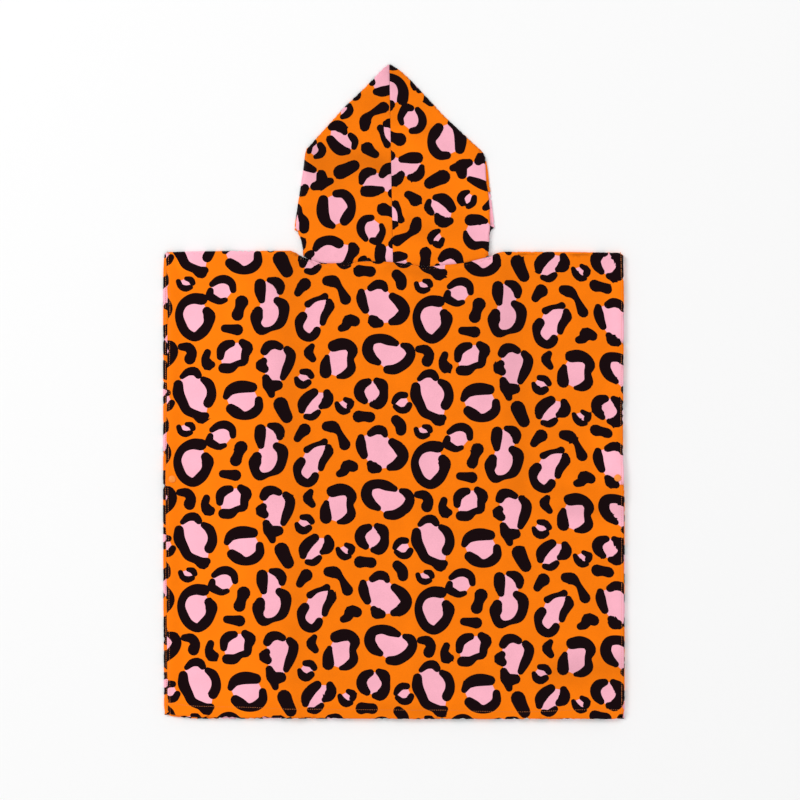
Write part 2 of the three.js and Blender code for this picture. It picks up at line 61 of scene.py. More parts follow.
lens = bpy.data.cameras.new("overhead_lens")
lens.sensor_width = 36
lens.lens = lens.sensor_width * CAMERA_HEIGHT / (PICTURE_PIXELS * PIXEL)
camera = bpy.data.objects.new("overhead_camera", lens)
camera.location = (PICTURE_MIDDLE[0] * MM, PICTURE_MIDDLE[1] * MM, CAMERA_HEIGHT * MM)
bpy.context.scene.collection.objects.link(camera)
bpy.context.scene.camera = camera
print("lens", round(lens.lens, 1), "mm")

# %% [markdown]
# ## Sizes
# The cloth's own sizes, in millimetres. Everything that follows is worked out from these and from
# the short tables: where the edges run, how high the layers stand, and where the soft folds lie.

# %% Sizes of the cloth
CLOTH = 1.8
GAP = 0.3  # between layers, and between two pieces at a seam
BACK_TOP = 2 * CLOTH + GAP
BOTTOM_HEM = 15.0
SIDE_HEM = 4.0
FRONT_SIDE_HEM = 7.6  # wider on the front layer, where it shows on the left
FACE_HEM = 15.0
HEM_STEP = 0.8
RIM = CLOTH  # a turned hem is two cloths thick, so its edge is round with one cloth's radius
RIGHT = 325.0
LEFT = -RIGHT
TOP = 460.5
BOTTOM = -TOP
SHOULDER = 197.0

# %% Tables of the outline
SIDE_EDGES = {
    "y": [-461, -441, -152, -124, -75, 129, 165, 197],
    "back_left": [7.2, 6.9, 4.2, 4.0, 4.8, 6.6, 5.2, 4.4],
    "front_left": [1.5, 1.3, 0, 0, 0, 0, 0.2, 1.6],
    "back_right": [1.2, 1.2, 1.4, 1.6, 2.6, 1.4, 1.8, 2.4],
    "front_right": [0, 0, 0, 1.2, 2.8, 2.6, 3.0, 3.2],
}
SHOULDER_LINE = {
    "x": [-325, -312, -144, -138, -131, -100, 100, 135, 143, 155, 316, 325],
    "y": [195.5, 197.0, 198.6, 196.2, 190.8, 193.0, 193.0, 190.4, 194.6, 197.2, 195.8, 194.0],
}
BOTTOM_LINE = {
    "x": [-325, -300, -276, -150, 50, 325],
    "back": [-452.2, -455.9, -458.0, -458.9, -460.5, -460.5],
    "front": [-455.0, -458.6, -460.5, -460.5, -460.5, -460.5],
}
BACK_NECK = {
    "x": [-129.5, -111, -95, -62, -38, -10, 49, 73, 95, 116, 134.8],
    "y": [190.2, 183.6, 180.8, 181.6, 183.6, 183.0, 176.4, 178.8, 180.8, 185.6, 190.2],
}
NECK_LEFT = BACK_NECK["x"][0]
NECK_RIGHT = BACK_NECK["x"][-1]
FRONT_NECK_LOW = 170.0
FRONT_NECK_HIGH = 190.2
FRONT_NECK_POWER = 2.2
HOOD_SEAM = {"y": [165, TOP], "x": [-1.0, -6.5]}
HOOD_SIDES = {
    "left": {
        "y": [192, 201, 224, 228.6, 233, 254, 318, 341, 348, 378.6, 403, 433, 458.6, TOP],
        "fold": [127.3, 127.9, 134.6, 137.2, 137.8, 134.8, 125.1, 122.6, 117.0, 89.6, 67.2, 36.0,
                 11.2, 8.6],
        "flap": [127.9, 128.5, 135.6, 140.3, 139.8, 136.8, 127.0, 123.8, 117.6, 90.2, 67.8, 36.6,
                 11.8, 9.2],
    },
    "right": {
        "y": [192, 208, 222, 228.6, 231.4, 254, 279, 294, 321, 329, 333.5, 356, 382.7, 424, 451, TOP],
        "fold": [133.1, 133.8, 134.4, 135.6, 135.8, 134.9, 133.2, 130.3, 128.8, 128.5, 126.9, 105.4, 76.5,
                 37.3, 10.4, -3.6],
        "flap": [133.7, 134.4, 135.2, 137.4, 141.6, 139.0, 136.4, 134.4, 131.0, 129.2, 127.5, 106.0, 77.1,
                 37.9, 11.0, -3.0],
    },
}
FACE_HEM_Y = 231.0
FACE_CORNER = 133.0
FACE_LOW_Y = 179.0

# %% Tables of the heights
STANDS_HIGHER = {
    "y": [150, 181, SHOULDER, 214, 247, 279],
    "rise": [0, 2.0, 2.6, 2.1, 2.1, 0],
}
# Each soft fold is a low ridge (or a trough, below zero) along a line: from, to, spread and height.
SOFT_FOLDS = [
    (-139, 175, -146, -470, 15, 2.6),
    (22, 150, 30, -440, 16, 2.0),
    (148, 185, 170, -120, 19, 3.0),
    (205, -128, 300, -134, 13, 2.2),
    (-250, 60, -215, -330, 26, 1.6),
    (262, -300, 300, -400, 22, 1.8),
    (-112, 322, -8, 290, 15, 2.4),
    (18, 236, 52, 200, 13, 2.0),
    (60, 345, 88, 262, 18, 1.8),
]
print(len(SOFT_FOLDS), "soft folds")

# %% The small creases
# Puckers where the neck seam pulls, and a few soft marks elsewhere.
SMALL_CREASES = [
    (-127, 192, -108, 174, 1.8, 1.1),
    (-121, 193, -103, 177, 1.8, 1.1),
    (-124, 186, -110, 172, 1.6, -0.6),
    (-112, 184, -92, 168, 2.4, 0.8),
    (-98, 181, -84, 166, 2.2, 0.5),
    (-146, 196, -137, 180, 2.6, 0.9),
    (-60, 181, -52, 160, 3.0, 0.5),
    (6, 180, 28, 160, 3.2, 0.7),
    (52, 176, 40, 152, 3.0, 0.6),
    (96, 181, 104, 160, 3.0, 0.6),
    (128, 189, 112, 168, 2.4, 0.8),
    (141, 193, 134, 172, 2.6, 0.8),
    (-300, -118, -262, -104, 4.0, 0.8),
    (-302, -132, -268, -150, 4.0, 0.6),
    (304, -116, 268, -98, 4.0, 0.8),
    (-120, 196, -96, 214, 3.0, 0.7),
    (-90, 190, -70, 206, 3.0, 0.5),
    (124, 196, 104, 216, 3.0, 0.7),
    (84, 190, 70, 210, 3.0, 0.5),
]
print(len(SMALL_CREASES), "small creases")

# %% Painted light and shade on the pile
# Light and shade painted into the pile's colour: paler bands where the laid cloth is lit, darker below
# zero where it is shaded, and thin dark lines in the neck's creases: from, to, spread and shade.
PAINTED_SHADING = [
    (-290, 190, -290, -460, 38, 0.12),
    (-225, 150, -215, -460, 36, 0.11),
    (-315, 190, -305, 180, 14, 0.10),
    (-151, 190, -151, -64, 14, -0.10),
    (-150, -80, -146, -440, 14, -0.04),
    (-147, 198, -146, 172, 10, -0.10),
    (150, 165, 172, -138, 20, -0.07),
    (110, 150, 230, -60, 45, -0.03),
    (285, -70, 318, -115, 16, 0.10),
    (312, 150, 314, 90, 14, 0.06),
    (235, -165, 320, -166, 9, -0.08),
    (250, -190, 315, -195, 14, 0.06),
    (240, -350, 310, -350, 12, 0.04),
    (222, -395, 312, -385, 18, -0.12),
    (-200, -215, 40, -215, 16, 0.03),
    (-190, -440, -180, -455, 14, -0.06),
    (-34, -445, 50, -448, 10, -0.09),
    (-124, 190, -109, 176, 1.7, -0.16),
    (-118, 192, -101, 178, 1.7, -0.14),
    (-139, 196, -124, 178, 1.8, -0.10),
    (-5, 176, 45, 168, 9, -0.11),
    (-60, 202, 70, 200, 10, 0.07),
    (20, 232, 50, 224, 12, -0.08),
    (95, 300, 135, 250, 22, 0.11),
    (-130, 338, -20, 318, 20, -0.14),
    (-110, 318, -85, 290, 16, -0.09),
    (-45, 330, -10, 315, 12, -0.08),
    (5, 362, 30, 335, 12, 0.09),
    (38, 369, 62, 366, 8, -0.11),
    (-60, 415, -5, 400, 18, -0.08),
    (-5, 452, 5, 440, 12, -0.15),
]
print(len(PAINTED_SHADING), "brushed places")

# %% Where the poppers hold the cloth
POPPERS = {"left": (-311.5, -122.7), "right": (314.4, -121.0)}
FRONT_SEAT = 1.5  # the height of the front layer's outer face at a popper
BACK_SEAT = 9.1  # and of the back layer's
SEAT_FLAT = 14.0  # the cloth is level this far round a popper
SEAT_END = 42.0  # and lies as it likes from here
print("poppers:", POPPERS)

# %% [markdown]
# ## How the cloth lies
# Cloth settles by its own weight, in soft folds over what lies below. Blender can simulate that, but a
# simulation never lands on the folds of one picture. So the shape is a set of height functions over
# the plan. They take whole arrays, so a hundred thousand points cost little. Tables are read along a
# smooth curve that never overshoots its rows.

# %% Readers
def curve(places, values, slopes, at):
    """A smooth curve through values that has the given slopes there."""
    row = np.clip(np.searchsorted(places, at) - 1, 0, len(places) - 2)
    step = places[row + 1] - places[row]
    part = (at - places[row]) / step
    rest = 1 - part
    return (
        values[row] * (1 + 2 * part) * rest**2
        + values[row + 1] * part**2 * (3 - 2 * part)
        + step * part * rest * (slopes[row] * rest - slopes[row + 1] * part)
    )


def read(table, key, column, at):
    """Reads a table's column at any place, along a curve that never overshoots a row."""
    places = np.asarray(table[key], float)
    values = np.asarray(table[column], float)
    steps = np.diff(places)
    rises = np.diff(values) / steps
    slopes = np.zeros_like(values)
    slopes[0] = rises[0]
    slopes[-1] = rises[-1]
    ahead = 2 * steps[1:] + steps[:-1]
    behind = steps[1:] + 2 * steps[:-1]
    with np.errstate(divide="ignore", invalid="ignore"):
        mean = (ahead + behind) / (ahead / rises[:-1] + behind / rises[1:])
    slopes[1:-1] = np.where(rises[:-1] * rises[1:] > 0, mean, 0)
    return curve(places, values, slopes, np.clip(np.asarray(at, float), places[0], places[-1]))


def smooth(start, end, value):
    part = np.clip((np.asarray(value, float) - start) / (end - start), 0, 1)
    return part * part * (3 - 2 * part)


def mix(a, b, part):
    return a + (b - a) * part


def bell(value, middle, spread):
    """1 at the middle, fading to nothing on both sides."""
    return np.exp(-(((value - middle) / spread) ** 2))


print("a quarter of the way up an eased step the height is", float(smooth(0, 4, 1)))


# %% Ridges
def ridges(rows, x, y):
    """The height of all the ridges in a table at each place."""
    height = np.zeros_like(x, dtype=float)
    for x0, y0, x1, y1, spread, rise in rows:
        along_x = x1 - x0
        along_y = y1 - y0
        part = ((x - x0) * along_x + (y - y0) * along_y) / (along_x**2 + along_y**2)
        held = np.clip(part, 0, 1)
        away2 = (x - x0 - held * along_x) ** 2 + (y - y0 - held * along_y) ** 2
        height += rise * np.exp(-away2 / spread**2)
    return height


print("the first fold's ridge is", float(ridges(SOFT_FOLDS[:1], np.array([-139.0]), 175)[0]), "mm high")


# %% Seats and swells
def popper_seat(x, y):
    """1 where the cloth is clamped by a popper, easing to 0 round it."""
    away = np.min([np.hypot(x - px, y - py) for px, py in POPPERS.values()], axis=0)
    return 1 - smooth(SEAT_FLAT, SEAT_END, away)


SWELL_COUNT = 9
SWELL_SHORT, SWELL_LONG = 60, 190  # millimetres from crest to crest
SWELL_MIDDLE, SWELL_RISE = 0.5, 0.16
wave_dice = np.random.default_rng(7)
SWELL_WAVES = [
    (
        wave_dice.uniform(0, math.tau),
        wave_dice.uniform(SWELL_SHORT, SWELL_LONG),
        wave_dice.uniform(0, math.tau),
    )
    for _ in range(SWELL_COUNT)
]


def swells(x, y):
    """The slow unevenness that no laid cloth is free of, between 0 and about 1 mm."""
    total = np.zeros_like(x, dtype=float)
    for heading, length, phase in SWELL_WAVES:
        along = x * math.cos(heading) + y * math.sin(heading)
        total += np.sin(along * math.tau / length + phase)
    return SWELL_MIDDLE + SWELL_RISE * total


print(len(SWELL_WAVES), "slow waves")


# %% The neck
def neck_back(x):
    return read(BACK_NECK, "x", "y", x)


def neck_front(x):
    middle = (NECK_LEFT + NECK_RIGHT) / 2
    part = np.clip(np.abs((x - middle) / (NECK_RIGHT - middle)), 0, 1)
    return mix(FRONT_NECK_LOW, FRONT_NECK_HIGH, part**FRONT_NECK_POWER)


# How deep each mark is, and how wide it spreads
NECK_GROOVE, NECK_GROOVE_SPREAD = 1.5, 1.5
NECK_STITCH = 3.6  # the top-stitching runs this far below the neck seam
STITCH_DENT, STITCH_DENT_SPREAD = 0.7, 1.2
ALLOWANCE, ALLOWANCE_BELOW, ALLOWANCE_SPREAD = 0.7, 8, 5.0  # the cut edges inside lift the cloth
NECK_FADE = 8  # past the ends of the neck


def neck_relief(x, y):
    """The seam's groove at the neck, with the dent of the top-stitching below it."""
    from_left = smooth(NECK_LEFT - NECK_FADE, NECK_LEFT, x)
    inside = from_left * (1 - smooth(NECK_RIGHT, NECK_RIGHT + NECK_FADE, x))
    below = neck_back(x) - y
    groove = NECK_GROOVE * bell(below, 0, NECK_GROOVE_SPREAD)
    dent = STITCH_DENT * bell(below, NECK_STITCH, STITCH_DENT_SPREAD)
    allowance = ALLOWANCE * bell(below, ALLOWANCE_BELOW, ALLOWANCE_SPREAD)
    return inside * (allowance - groove - dent)


print("the neck hole is", round(NECK_RIGHT - NECK_LEFT, 1), "mm wide")

# %% Heights of the layers
SIDE_EASE, BOTTOM_EASE = 24, 46  # the cloth comes down from its hems by here, in from the edge
LOOSE_SIDE = (30, 80)  # the swells grow over this way in from a side
LOOSE_BOTTOM = (20, 80)


def back_height(x, y, from_side=np.inf, from_bottom=np.inf):
    """The back layer's outer face, over the hems of both layers."""
    over_side = 1 - smooth(SIDE_HEM + HEM_STEP, SIDE_EASE, from_side)
    over_bottom = 1 - smooth(BOTTOM_HEM + HEM_STEP, BOTTOM_EASE, from_bottom)
    hems = 2 * CLOTH * (1 - (1 - over_side) * (1 - over_bottom))
    rise = read(STANDS_HIGHER, "y", "rise", y)
    plain = BACK_TOP + np.maximum(hems, rise) + ridges(SOFT_FOLDS, x, y)
    loose = smooth(*LOOSE_SIDE, from_side) * smooth(*LOOSE_BOTTOM, from_bottom)
    height = mix(plain + loose * swells(x, y), BACK_SEAT, popper_seat(x, y))
    return height + ridges(SMALL_CREASES, x, y) + neck_relief(x, y)


def turned_hem(distance, width):
    """1 where a turned hem doubles the cloth, easing to 0 past its stitched end."""
    return 1 - smooth(width, width + HEM_STEP, distance)


print("at the middle the back stands", round(float(back_height(np.zeros(1), np.zeros(1))[0]), 2), "mm high")

# %% [markdown]
# ## The print
# A leopard print is laid out as a small repeat, 334 mm by 205 mm, and printed over and over along the
# cloth. It could be painted with noise, but then no spot would repeat as printed cloth does. So the
# repeat is charted as strokes of a round brush: each stroke is a few places with the brush's width
# there. A rosette's strokes go round it anticlockwise, and its pink heart fills the middle.
# The ink isn't a picture either. The cloth's mesh is cut along the strokes, so an edge of ink stays
# sharp at any distance, and each face of the mesh knows its ink.

# %% The chart of the repeat
REPEAT_ACROSS = (333.9, -3.2)  # from one repeat to the next along the width, in millimetres
REPEAT_UP = (-1.4, 204.7)  # and along the length
REPEAT_CORNER = (-316.1, -41.8)  # where the charted repeat lies on the back

print("the repeat is", REPEAT_ACROSS[0], "by", REPEAT_UP[1], "mm")

# %% The rosettes
# Every place is x, y and the brush's width there.
ROSETTES = [
    [
        [(33, 195, 7), (31, 199, 8), (24, 201, 5)],
        [(13, 197, 6), (16, 190, 7), (24, 187, 8), (30, 189, 6)],
    ],
    [
        [(90, 185, 8), (88, 194, 10), (79, 200, 11), (69, 199, 10), (60, 193, 7)],
        [(58, 184, 8), (57, 177, 11), (64, 172, 10), (72, 169, 8), (79, 171, 6)],
    ],
    [
        [
            (46, 172, 15), (34, 173, 14), (20, 166, 11), (14, 152, 10), (17, 137, 12), (25, 124, 12),
            (36, 119, 12), (47, 126, 14), (55, 138, 13), (56, 150, 16), (53, 155, 12),
        ],
    ],
    [
        [(156, 183, 9), (156, 189, 13), (151, 196, 13), (141, 199, 7)],
        [(128, 193, 15), (128, 183, 15), (130, 171, 9)],
        [
            (125, 155, 13), (123, 148, 17), (123, 137, 12), (129, 128, 12), (142, 130, 6),
            (156, 138, 12), (161, 150, 13), (160, 164, 15), (152, 170, 10),
        ],
    ],
    [
        [(88, 110, 9), (81, 108, 12), (74, 102, 12), (72, 91, 9)],
        [
            (76, 75, 13), (86, 75, 13), (96, 81, 8), (105, 84, 10), (107, 94, 11), (110, 104, 15),
            (103, 111, 10),
        ],
    ],
    [
        [(41, 65, 9), (37, 70, 11), (27, 70, 10), (18, 63, 6)],
        [(13, 52, 12), (13, 40, 15), (19, 27, 13), (25, 16, 12), (37, 10, 11), (48, 5, 15), (52, 8, 9)],
        [(55, 26, 13), (59, 34, 13), (59, 46, 12), (55, 54, 12), (48, 59, 8)],
    ],
    [
        [(156, 105, 9), (149, 108, 11), (139, 106, 13), (134, 99, 11)],
        [(133, 85, 9), (129, 79, 15), (134, 74, 11)],
        [(136, 61, 10), (141, 50, 17), (153, 51, 13)],
        [(160, 62, 8), (165, 73, 12), (170, 85, 13), (171, 95, 13), (166, 101, 10)],
    ],
    [
        [(117, 48, 13), (106, 49, 16), (95, 48, 16), (85, 43, 13), (80, 35, 8)],
        [(87, 18, 13), (94, 13, 15), (106, 8, 11), (119, 12, 13), (126, 20, 12), (126, 30, 10)],
    ],
    [
        [(219, 176, 9), (213, 174, 6), (204, 171, 6), (195, 165, 9)],
        [
            (188, 148, 12), (184, 142, 13), (183, 132, 10), (188, 122, 12), (198, 118, 11),
            (206, 124, 11), (208, 128, 10),
        ],
        [(216, 139, 8), (218, 147, 10), (223, 156, 11), (226, 163, 13), (225, 168, 9)],
    ],
    [
        [(304, 186, 7), (301, 191, 11), (292, 193, 12), (283, 188, 9)],
        [(270, 182, 9), (270, 176, 13), (272, 166, 13), (276, 157, 10)],
        [(285, 145, 9), (289, 140, 16), (296, 138, 11)],
        [(313, 140, 9), (323, 144, 15), (331, 156, 15), (325, 167, 15), (314, 176, 10)],
    ],
    [
        [(222, 90, 7), (220, 82, 13), (220, 69, 16)],
        [
            (238, 63, 5), (246, 65, 10), (256, 74, 12), (255, 88, 9), (258, 100, 14), (253, 107, 14),
            (243, 109, 16), (231, 106, 15),
        ],
    ],
    [
        [
            (319, 110, 8), (309, 114, 13), (296, 117, 12), (283, 113, 13), (279, 101, 15), (285, 89, 14),
            (294, 83, 8),
        ],
        [
            (307, 73, 11), (316, 73, 13), (327, 78, 13), (336, 86, 13), (340, 97, 12), (336, 104, 12),
            (329, 107, 7),
        ],
    ],
    [
        [(204, 41, 11), (195, 34, 14), (188, 24, 14), (187, 16, 9)],
        [(193, 7, 7), (201, 6, 9), (207, 10, 9), (210, 13, 7)],
        [(214, 21, 7), (220, 25, 14), (224, 33, 14), (222, 40, 10)],
    ],
    [
        [(280, 56, 9), (272, 52, 13), (267, 43, 14), (270, 34, 13), (275, 29, 9)],
        [(286, 24, 8), (293, 24, 14), (300, 31, 14), (302, 41, 11), (299, 52, 15), (292, 57, 9)],
    ],
    [
        [(200, 64, 8), (196, 69, 9), (187, 70, 7)],
        [(179, 60, 6), (182, 54, 10), (189, 51, 10), (196, 55, 8)],
    ],
    [
        [(254, 21, 8), (256, 26, 9), (248, 31, 6)],
        [(236, 25, 6), (239, 19, 9), (246, 14, 9), (252, 15, 6)],
    ],
    [
        [(332, 37, 8), (325, 37, 9), (318, 31, 8), (316, 27, 6)],
        [(318, 21, 6), (325, 16, 8), (334, 17, 9), (338, 23, 8)],
    ],
]
print(len(ROSETTES), "rosettes")

# %% The blots
BLOTS = [
    [(102, 168, 18), (99, 159, 13), (96, 150, 16)],
    [(78, 131, 10), (87, 130, 12), (96, 129, 15)],
    [(17, 105, 9), (27, 104, 13), (32, 97, 13), (29, 88, 15)],
    [(54, 97, 9), (51, 87, 11), (56, 79, 15), (60, 80, 9)],
    [(157, 24, 20), (161, 15, 18), (166, 6, 16)],
    [(190, 193, 17), (184, 186, 12), (181, 181, 10)],
    [(221, 198, 13), (230, 197, 16), (239, 189, 8), (244, 180, 11), (248, 172, 15)],
    [(242, 131, 9), (248, 134, 12), (253, 143, 15), (261, 141, 14)],
    [(318, 207, 13), (325, 199, 15), (326, 192, 14)],
    [(144, 38, 9), (141, 50, 16)],
    [(201, 106, 7), (196, 97, 13), (202, 88, 9)],
    [(267, 7, 16), (275, 7, 13), (283, 6, 14)],
]
ORANGE, PINK, BLACK = 0, 1, 2
BRUSH_STEP = 3.0
INK_SPREAD = 0.7  # the ink creeps this far into the pile, past the edge of the stroke
print(len(BLOTS), "blots")


# %% Strokes of the brush
def spread_stroke(rows):
    """Places close together along a stroke, with half the brush's width at each."""
    rows = np.asarray(rows, float)
    reach = np.concatenate([[0], np.cumsum(np.linalg.norm(np.diff(rows[:, :2], axis=0), axis=1))])
    at = np.linspace(0, reach[-1], max(3, round(reach[-1] / BRUSH_STEP) + 1))
    x, y, width = (curve(reach, column, np.gradient(column, reach), at) for column in rows.T)
    return np.stack([x, y], axis=1), width / 2 + INK_SPREAD


def stroke_outline(middle, half):
    """The closed outline of a stroke, with round ends."""
    along = np.gradient(middle, axis=0)
    along /= np.linalg.norm(along, axis=1)[:, None]
    across = np.stack([along[:, 1], -along[:, 0]], axis=1)
    turns = np.linspace(-60, 60, 5) * math.pi / 180

    def round_end(end, forward):
        start = across[end] if forward else -across[end]
        onward = along[end] if forward else -along[end]
        return [middle[end] + half[end] * (onward * math.cos(a) - start * math.sin(a)) for a in turns]

    right = middle + across * half[:, None]
    left = middle - across * half[:, None]
    return np.array([*right, *round_end(-1, True), *left[::-1], *round_end(0, False)])


def repeat_shapes():
    """The inked shapes of one repeat: each its ink, its outline, and its middle line if a stroke."""
    shapes = []
    for strokes in ROSETTES:
        spread = [spread_stroke(stroke) for stroke in strokes]
        heart = np.concatenate([middle for middle, half in spread])
        shapes.append((PINK, heart, None, None))
        shapes += [(BLACK, stroke_outline(middle, half), middle, half) for middle, half in spread]
    for stroke in BLOTS:
        middle, half = spread_stroke(stroke)
        shapes.append((BLACK, stroke_outline(middle, half), middle, half))
    return shapes


REPEAT = repeat_shapes()
print("one repeat has", sum(len(shape[1]) for shape in REPEAT), "outline points")


# %% Printing over a piece
COLUMNS, ROWS = range(-4, 5), range(-5, 7)  # the repeats that are tried, enough for every piece


def printed_shapes(to_cloth, low, high):
    """All shapes that reach a piece. to_cloth turns places in the print into places on the piece."""
    corner, across, up = (np.array(step) for step in (REPEAT_CORNER, REPEAT_ACROSS, REPEAT_UP))
    placed = []
    for column in COLUMNS:
        for row in ROWS:
            shift = corner + column * across + row * up
            for ink, outline, middle, half in REPEAT:
                moved = to_cloth(outline + shift)
                if (moved.max(axis=0) > low).all() and (moved.min(axis=0) < high).all():
                    line = None if middle is None else to_cloth(middle + shift)
                    placed.append((ink, moved, line, half))
    return placed


print(len(COLUMNS) * len(ROWS), "places of the repeat are tried on each piece")


# %% Which ink lies where
def encloses(loop, places):
    """Whether each place lies inside a closed loop, by how often the loop winds round it."""
    a = loop[:, None, :]
    b = np.roll(loop, -1, axis=0)[:, None, :]
    px, py = places[:, 0], places[:, 1]
    side = (b[..., 0] - a[..., 0]) * (py - a[..., 1]) - (px - a[..., 0]) * (b[..., 1] - a[..., 1])
    up = (a[..., 1] <= py) & (b[..., 1] > py) & (side > 0)
    down = (a[..., 1] > py) & (b[..., 1] <= py) & (side < 0)
    return (up.sum(axis=0) - down.sum(axis=0)) != 0


def under_brush(middle, half, places):
    """Whether each place is nearer to a stroke's middle line than half the brush's width."""
    start, onward = middle[:-1, None], np.diff(middle, axis=0)[:, None]
    part = ((places - start) * onward).sum(axis=2) / (onward**2).sum(axis=2)
    part = np.clip(part, 0, 1)[..., None]
    away = np.linalg.norm(places - start - part * onward, axis=2)
    reach = mix(half[:-1, None], half[1:, None], part[..., 0])
    return (away < reach).any(axis=0)


def ink_of(middles, shapes):
    """The ink at each place: a stroke's black lies over a heart's pink, over the orange ground."""
    inks = np.full(len(middles), ORANGE)
    for ink, outline, line, half in shapes:
        in_box = (middles > outline.min(axis=0)) & (middles < outline.max(axis=0))
        near = np.flatnonzero(in_box.all(axis=1))
        places = middles[near]
        covered = encloses(outline, places) if line is None else under_brush(line, half, places)
        inks[near[covered]] = np.maximum(inks[near[covered]], ink)
    return inks


square = np.array([[0.0, 0], [1, 0], [1, 1], [0, 1]])
print("inside a unit square:", encloses(square, np.array([[0.5, 0.5], [1.5, 0.5]])).tolist())


# %% Cut a flat piece along the print
SAME_PLACE = 1e-4  # points nearer than this are one


def triangulate(outline, holes, shapes, extra, with_border=False):
    """Cuts a flat piece into triangles along the print. Returns the points, the triangles, their
    inks and, if asked, which place of the outline and holes each point is, or -1."""
    points = [extra]
    edges = []
    count = len(extra)
    for loop in [outline, *holes, *(shape[1] for shape in shapes)]:
        ids = np.arange(count, count + len(loop))
        edges += list(zip(ids.tolist(), np.roll(ids, -1).tolist()))
        points.append(loop)
        count += len(loop)
    given = [Vector(place) for place in np.concatenate(points).tolist()]
    cut_cloth = delaunay_2d_cdt(given, edges, [], 0, SAME_PLACE, with_border)
    out_points, _, faces, origins, _, _ = cut_cloth
    flat = np.array([tuple(place) for place in out_points])
    faces = np.array(faces)
    middles = flat[faces].mean(axis=1)
    kept = encloses(outline, middles)
    for hole in holes:
        kept &= ~encloses(hole, middles)
    faces = faces[kept]
    used = np.unique(faces)
    renumber = np.full(len(flat), -1)
    renumber[used] = np.arange(len(used))
    cut = flat[used], renumber[faces], ink_of(middles[kept], shapes)
    if not with_border:
        return cut
    first = len(extra)
    last = first + len(outline) + sum(len(hole) for hole in holes)
    on_border = [next((i - first for i in origin if first <= i < last), -1) for origin in origins]
    return *cut, np.array(on_border)[used]


def border_loops(triangles):
    """The closed loops of points round a set of triangles."""
    edges = np.concatenate([triangles[:, [0, 1]], triangles[:, [1, 2]], triangles[:, [2, 0]]])
    present = {tuple(edge) for edge in edges.tolist()}
    after = {a: b for a, b in present if (b, a) not in present}
    loops = []
    while after:
        start, step = next(iter(after.items()))
        loop = [start]
        del after[start]
        while step != start:
            loop.append(step)
            step = after.pop(step)
        loops.append(loop)
    return loops


# %% [markdown]
# ## From flat cloth to laid cloth
# A printed piece is cut flat, then every point is sent to its place: this keeps the print as true as
# it is on real cloth. The printed face goes on round each hem and under it, as far as the cut edge.
# The inner face is plain terry and needs far fewer points, so it is cut again from the same border,
# with the hems turned in and a coarse grid, which closes the shell. A Solidify modifier also thickens
# a surface, but it can't turn a hem in.

# %% Objects, and numbers on their meshes
def mesh_object(name, points, faces, materials=(), edges=()):
    """A new object in the scene, from points in millimetres."""
    mesh = bpy.data.meshes.new(name)
    mesh.from_pydata((np.asarray(points) * MM).tolist(), list(edges), faces)
    for material in materials:
        mesh.materials.append(material)
    made = bpy.data.objects.new(name, mesh)
    bpy.context.scene.collection.objects.link(made)
    return made


def add_numbers(mesh, name, domain, values):
    """A number on each face or point of a mesh, for a material to read."""
    made = mesh.attributes.new(name, "FLOAT", domain)
    made.data.foreach_set("value", values.astype(np.float32))


# %% Build a shell
CLEAR = 0.6  # no inner point comes nearer than this to the border, so that none splits it


def cloth_shell(
    name, outline, holes, shapes, fine, coarse, outer_place, inner_place, tucked, mirrored=False
):
    """A closed shell of cloth: printed outside, plain inside."""
    flat, triangles, inks = triangulate(outline, holes, shapes, fine)
    loops = sorted(border_loops(triangles), key=lambda loop: -np.ptp(flat[loop], axis=0).prod())
    borders = [tucked(flat[loop]) for loop in loops]
    away = coarse[:, None, :] - np.concatenate(borders)[None, :, :]
    coarse = coarse[np.hypot(away[..., 0], away[..., 1]).min(axis=1) > CLEAR]
    inner_flat, inner_triangles, _, on_border = triangulate(borders[0], borders[1:], [], coarse, True)
    own = on_border < 0
    new_ids = np.where(own, len(flat) + np.cumsum(own) - 1, np.concatenate(loops)[on_border])

    outer_points, outer_normals = outer_place(flat[:, 0], flat[:, 1])
    inner_points, inner_normals = inner_place(inner_flat[own, 0], inner_flat[own, 1])
    points = np.concatenate([outer_points, inner_points])
    normals = np.concatenate([outer_normals, inner_normals])
    faces = np.concatenate([triangles, new_ids[inner_triangles][:, ::-1]])
    if mirrored:
        faces = faces[:, ::-1]
    shell = mesh_object(name, points, faces.tolist(), [printed_velour, terry])
    mesh = shell.data
    add_numbers(mesh, "ink", "FACE", np.concatenate([inks, np.zeros(len(inner_triangles), int)]))
    under = outer_normals[:, 2] < 0  # on the underside the painted light and shade is the top's, mirrored across
    # Painted light and shade: paler and darker bands, a number on each point for the material
    painted_shading = ridges(PAINTED_SHADING, np.where(under, -1, 1) * outer_points[:, 0], outer_points[:, 1])
    add_numbers(mesh, "painted_shading", "POINT", np.concatenate([painted_shading, np.zeros(len(inner_points))]))
    slots = np.concatenate([np.zeros(len(inks), int), np.ones(len(inner_triangles), int)])
    mesh.polygons.foreach_set("material_index", slots.astype(np.int32))
    mesh.polygons.foreach_set("use_smooth", np.ones(len(faces), bool))
    mesh.update()
    mesh.normals_split_custom_set_from_vertices(normals.tolist())
    print(name, len(faces), "triangles,", own.sum(), "inner points,", len(loops), "borders")
    return shell


# %% Normals of a placed face
SMALL_STEP = 0.05


def face_normals(place, x, y, flip=1.0):
    """Normals of a placed surface from two small steps on the flat cloth."""
    along_x = place(x + SMALL_STEP, y) - place(x - SMALL_STEP, y)
    along_y = place(x, y + SMALL_STEP) - place(x, y - SMALL_STEP)
    normals = np.cross(along_x, along_y) * flip
    length = np.linalg.norm(normals, axis=1)[:, None]
    return normals / np.where(length > 0, length, 1)


# %% [markdown]
# ## The body
# On the flat cloth x runs across and t runs along it: up the back, over the shoulder fold and down
# the front. The side and bottom edges are turned hems, so the surface rolls round them in a half
# circle and comes back under itself. On the left the front layer reaches past the back, so its hem
# shows there from the inside, with the print on it. The body could be modelled where it lies, layer by
# layer, but laid from the flat it keeps its cut size and its print, round the fold too.

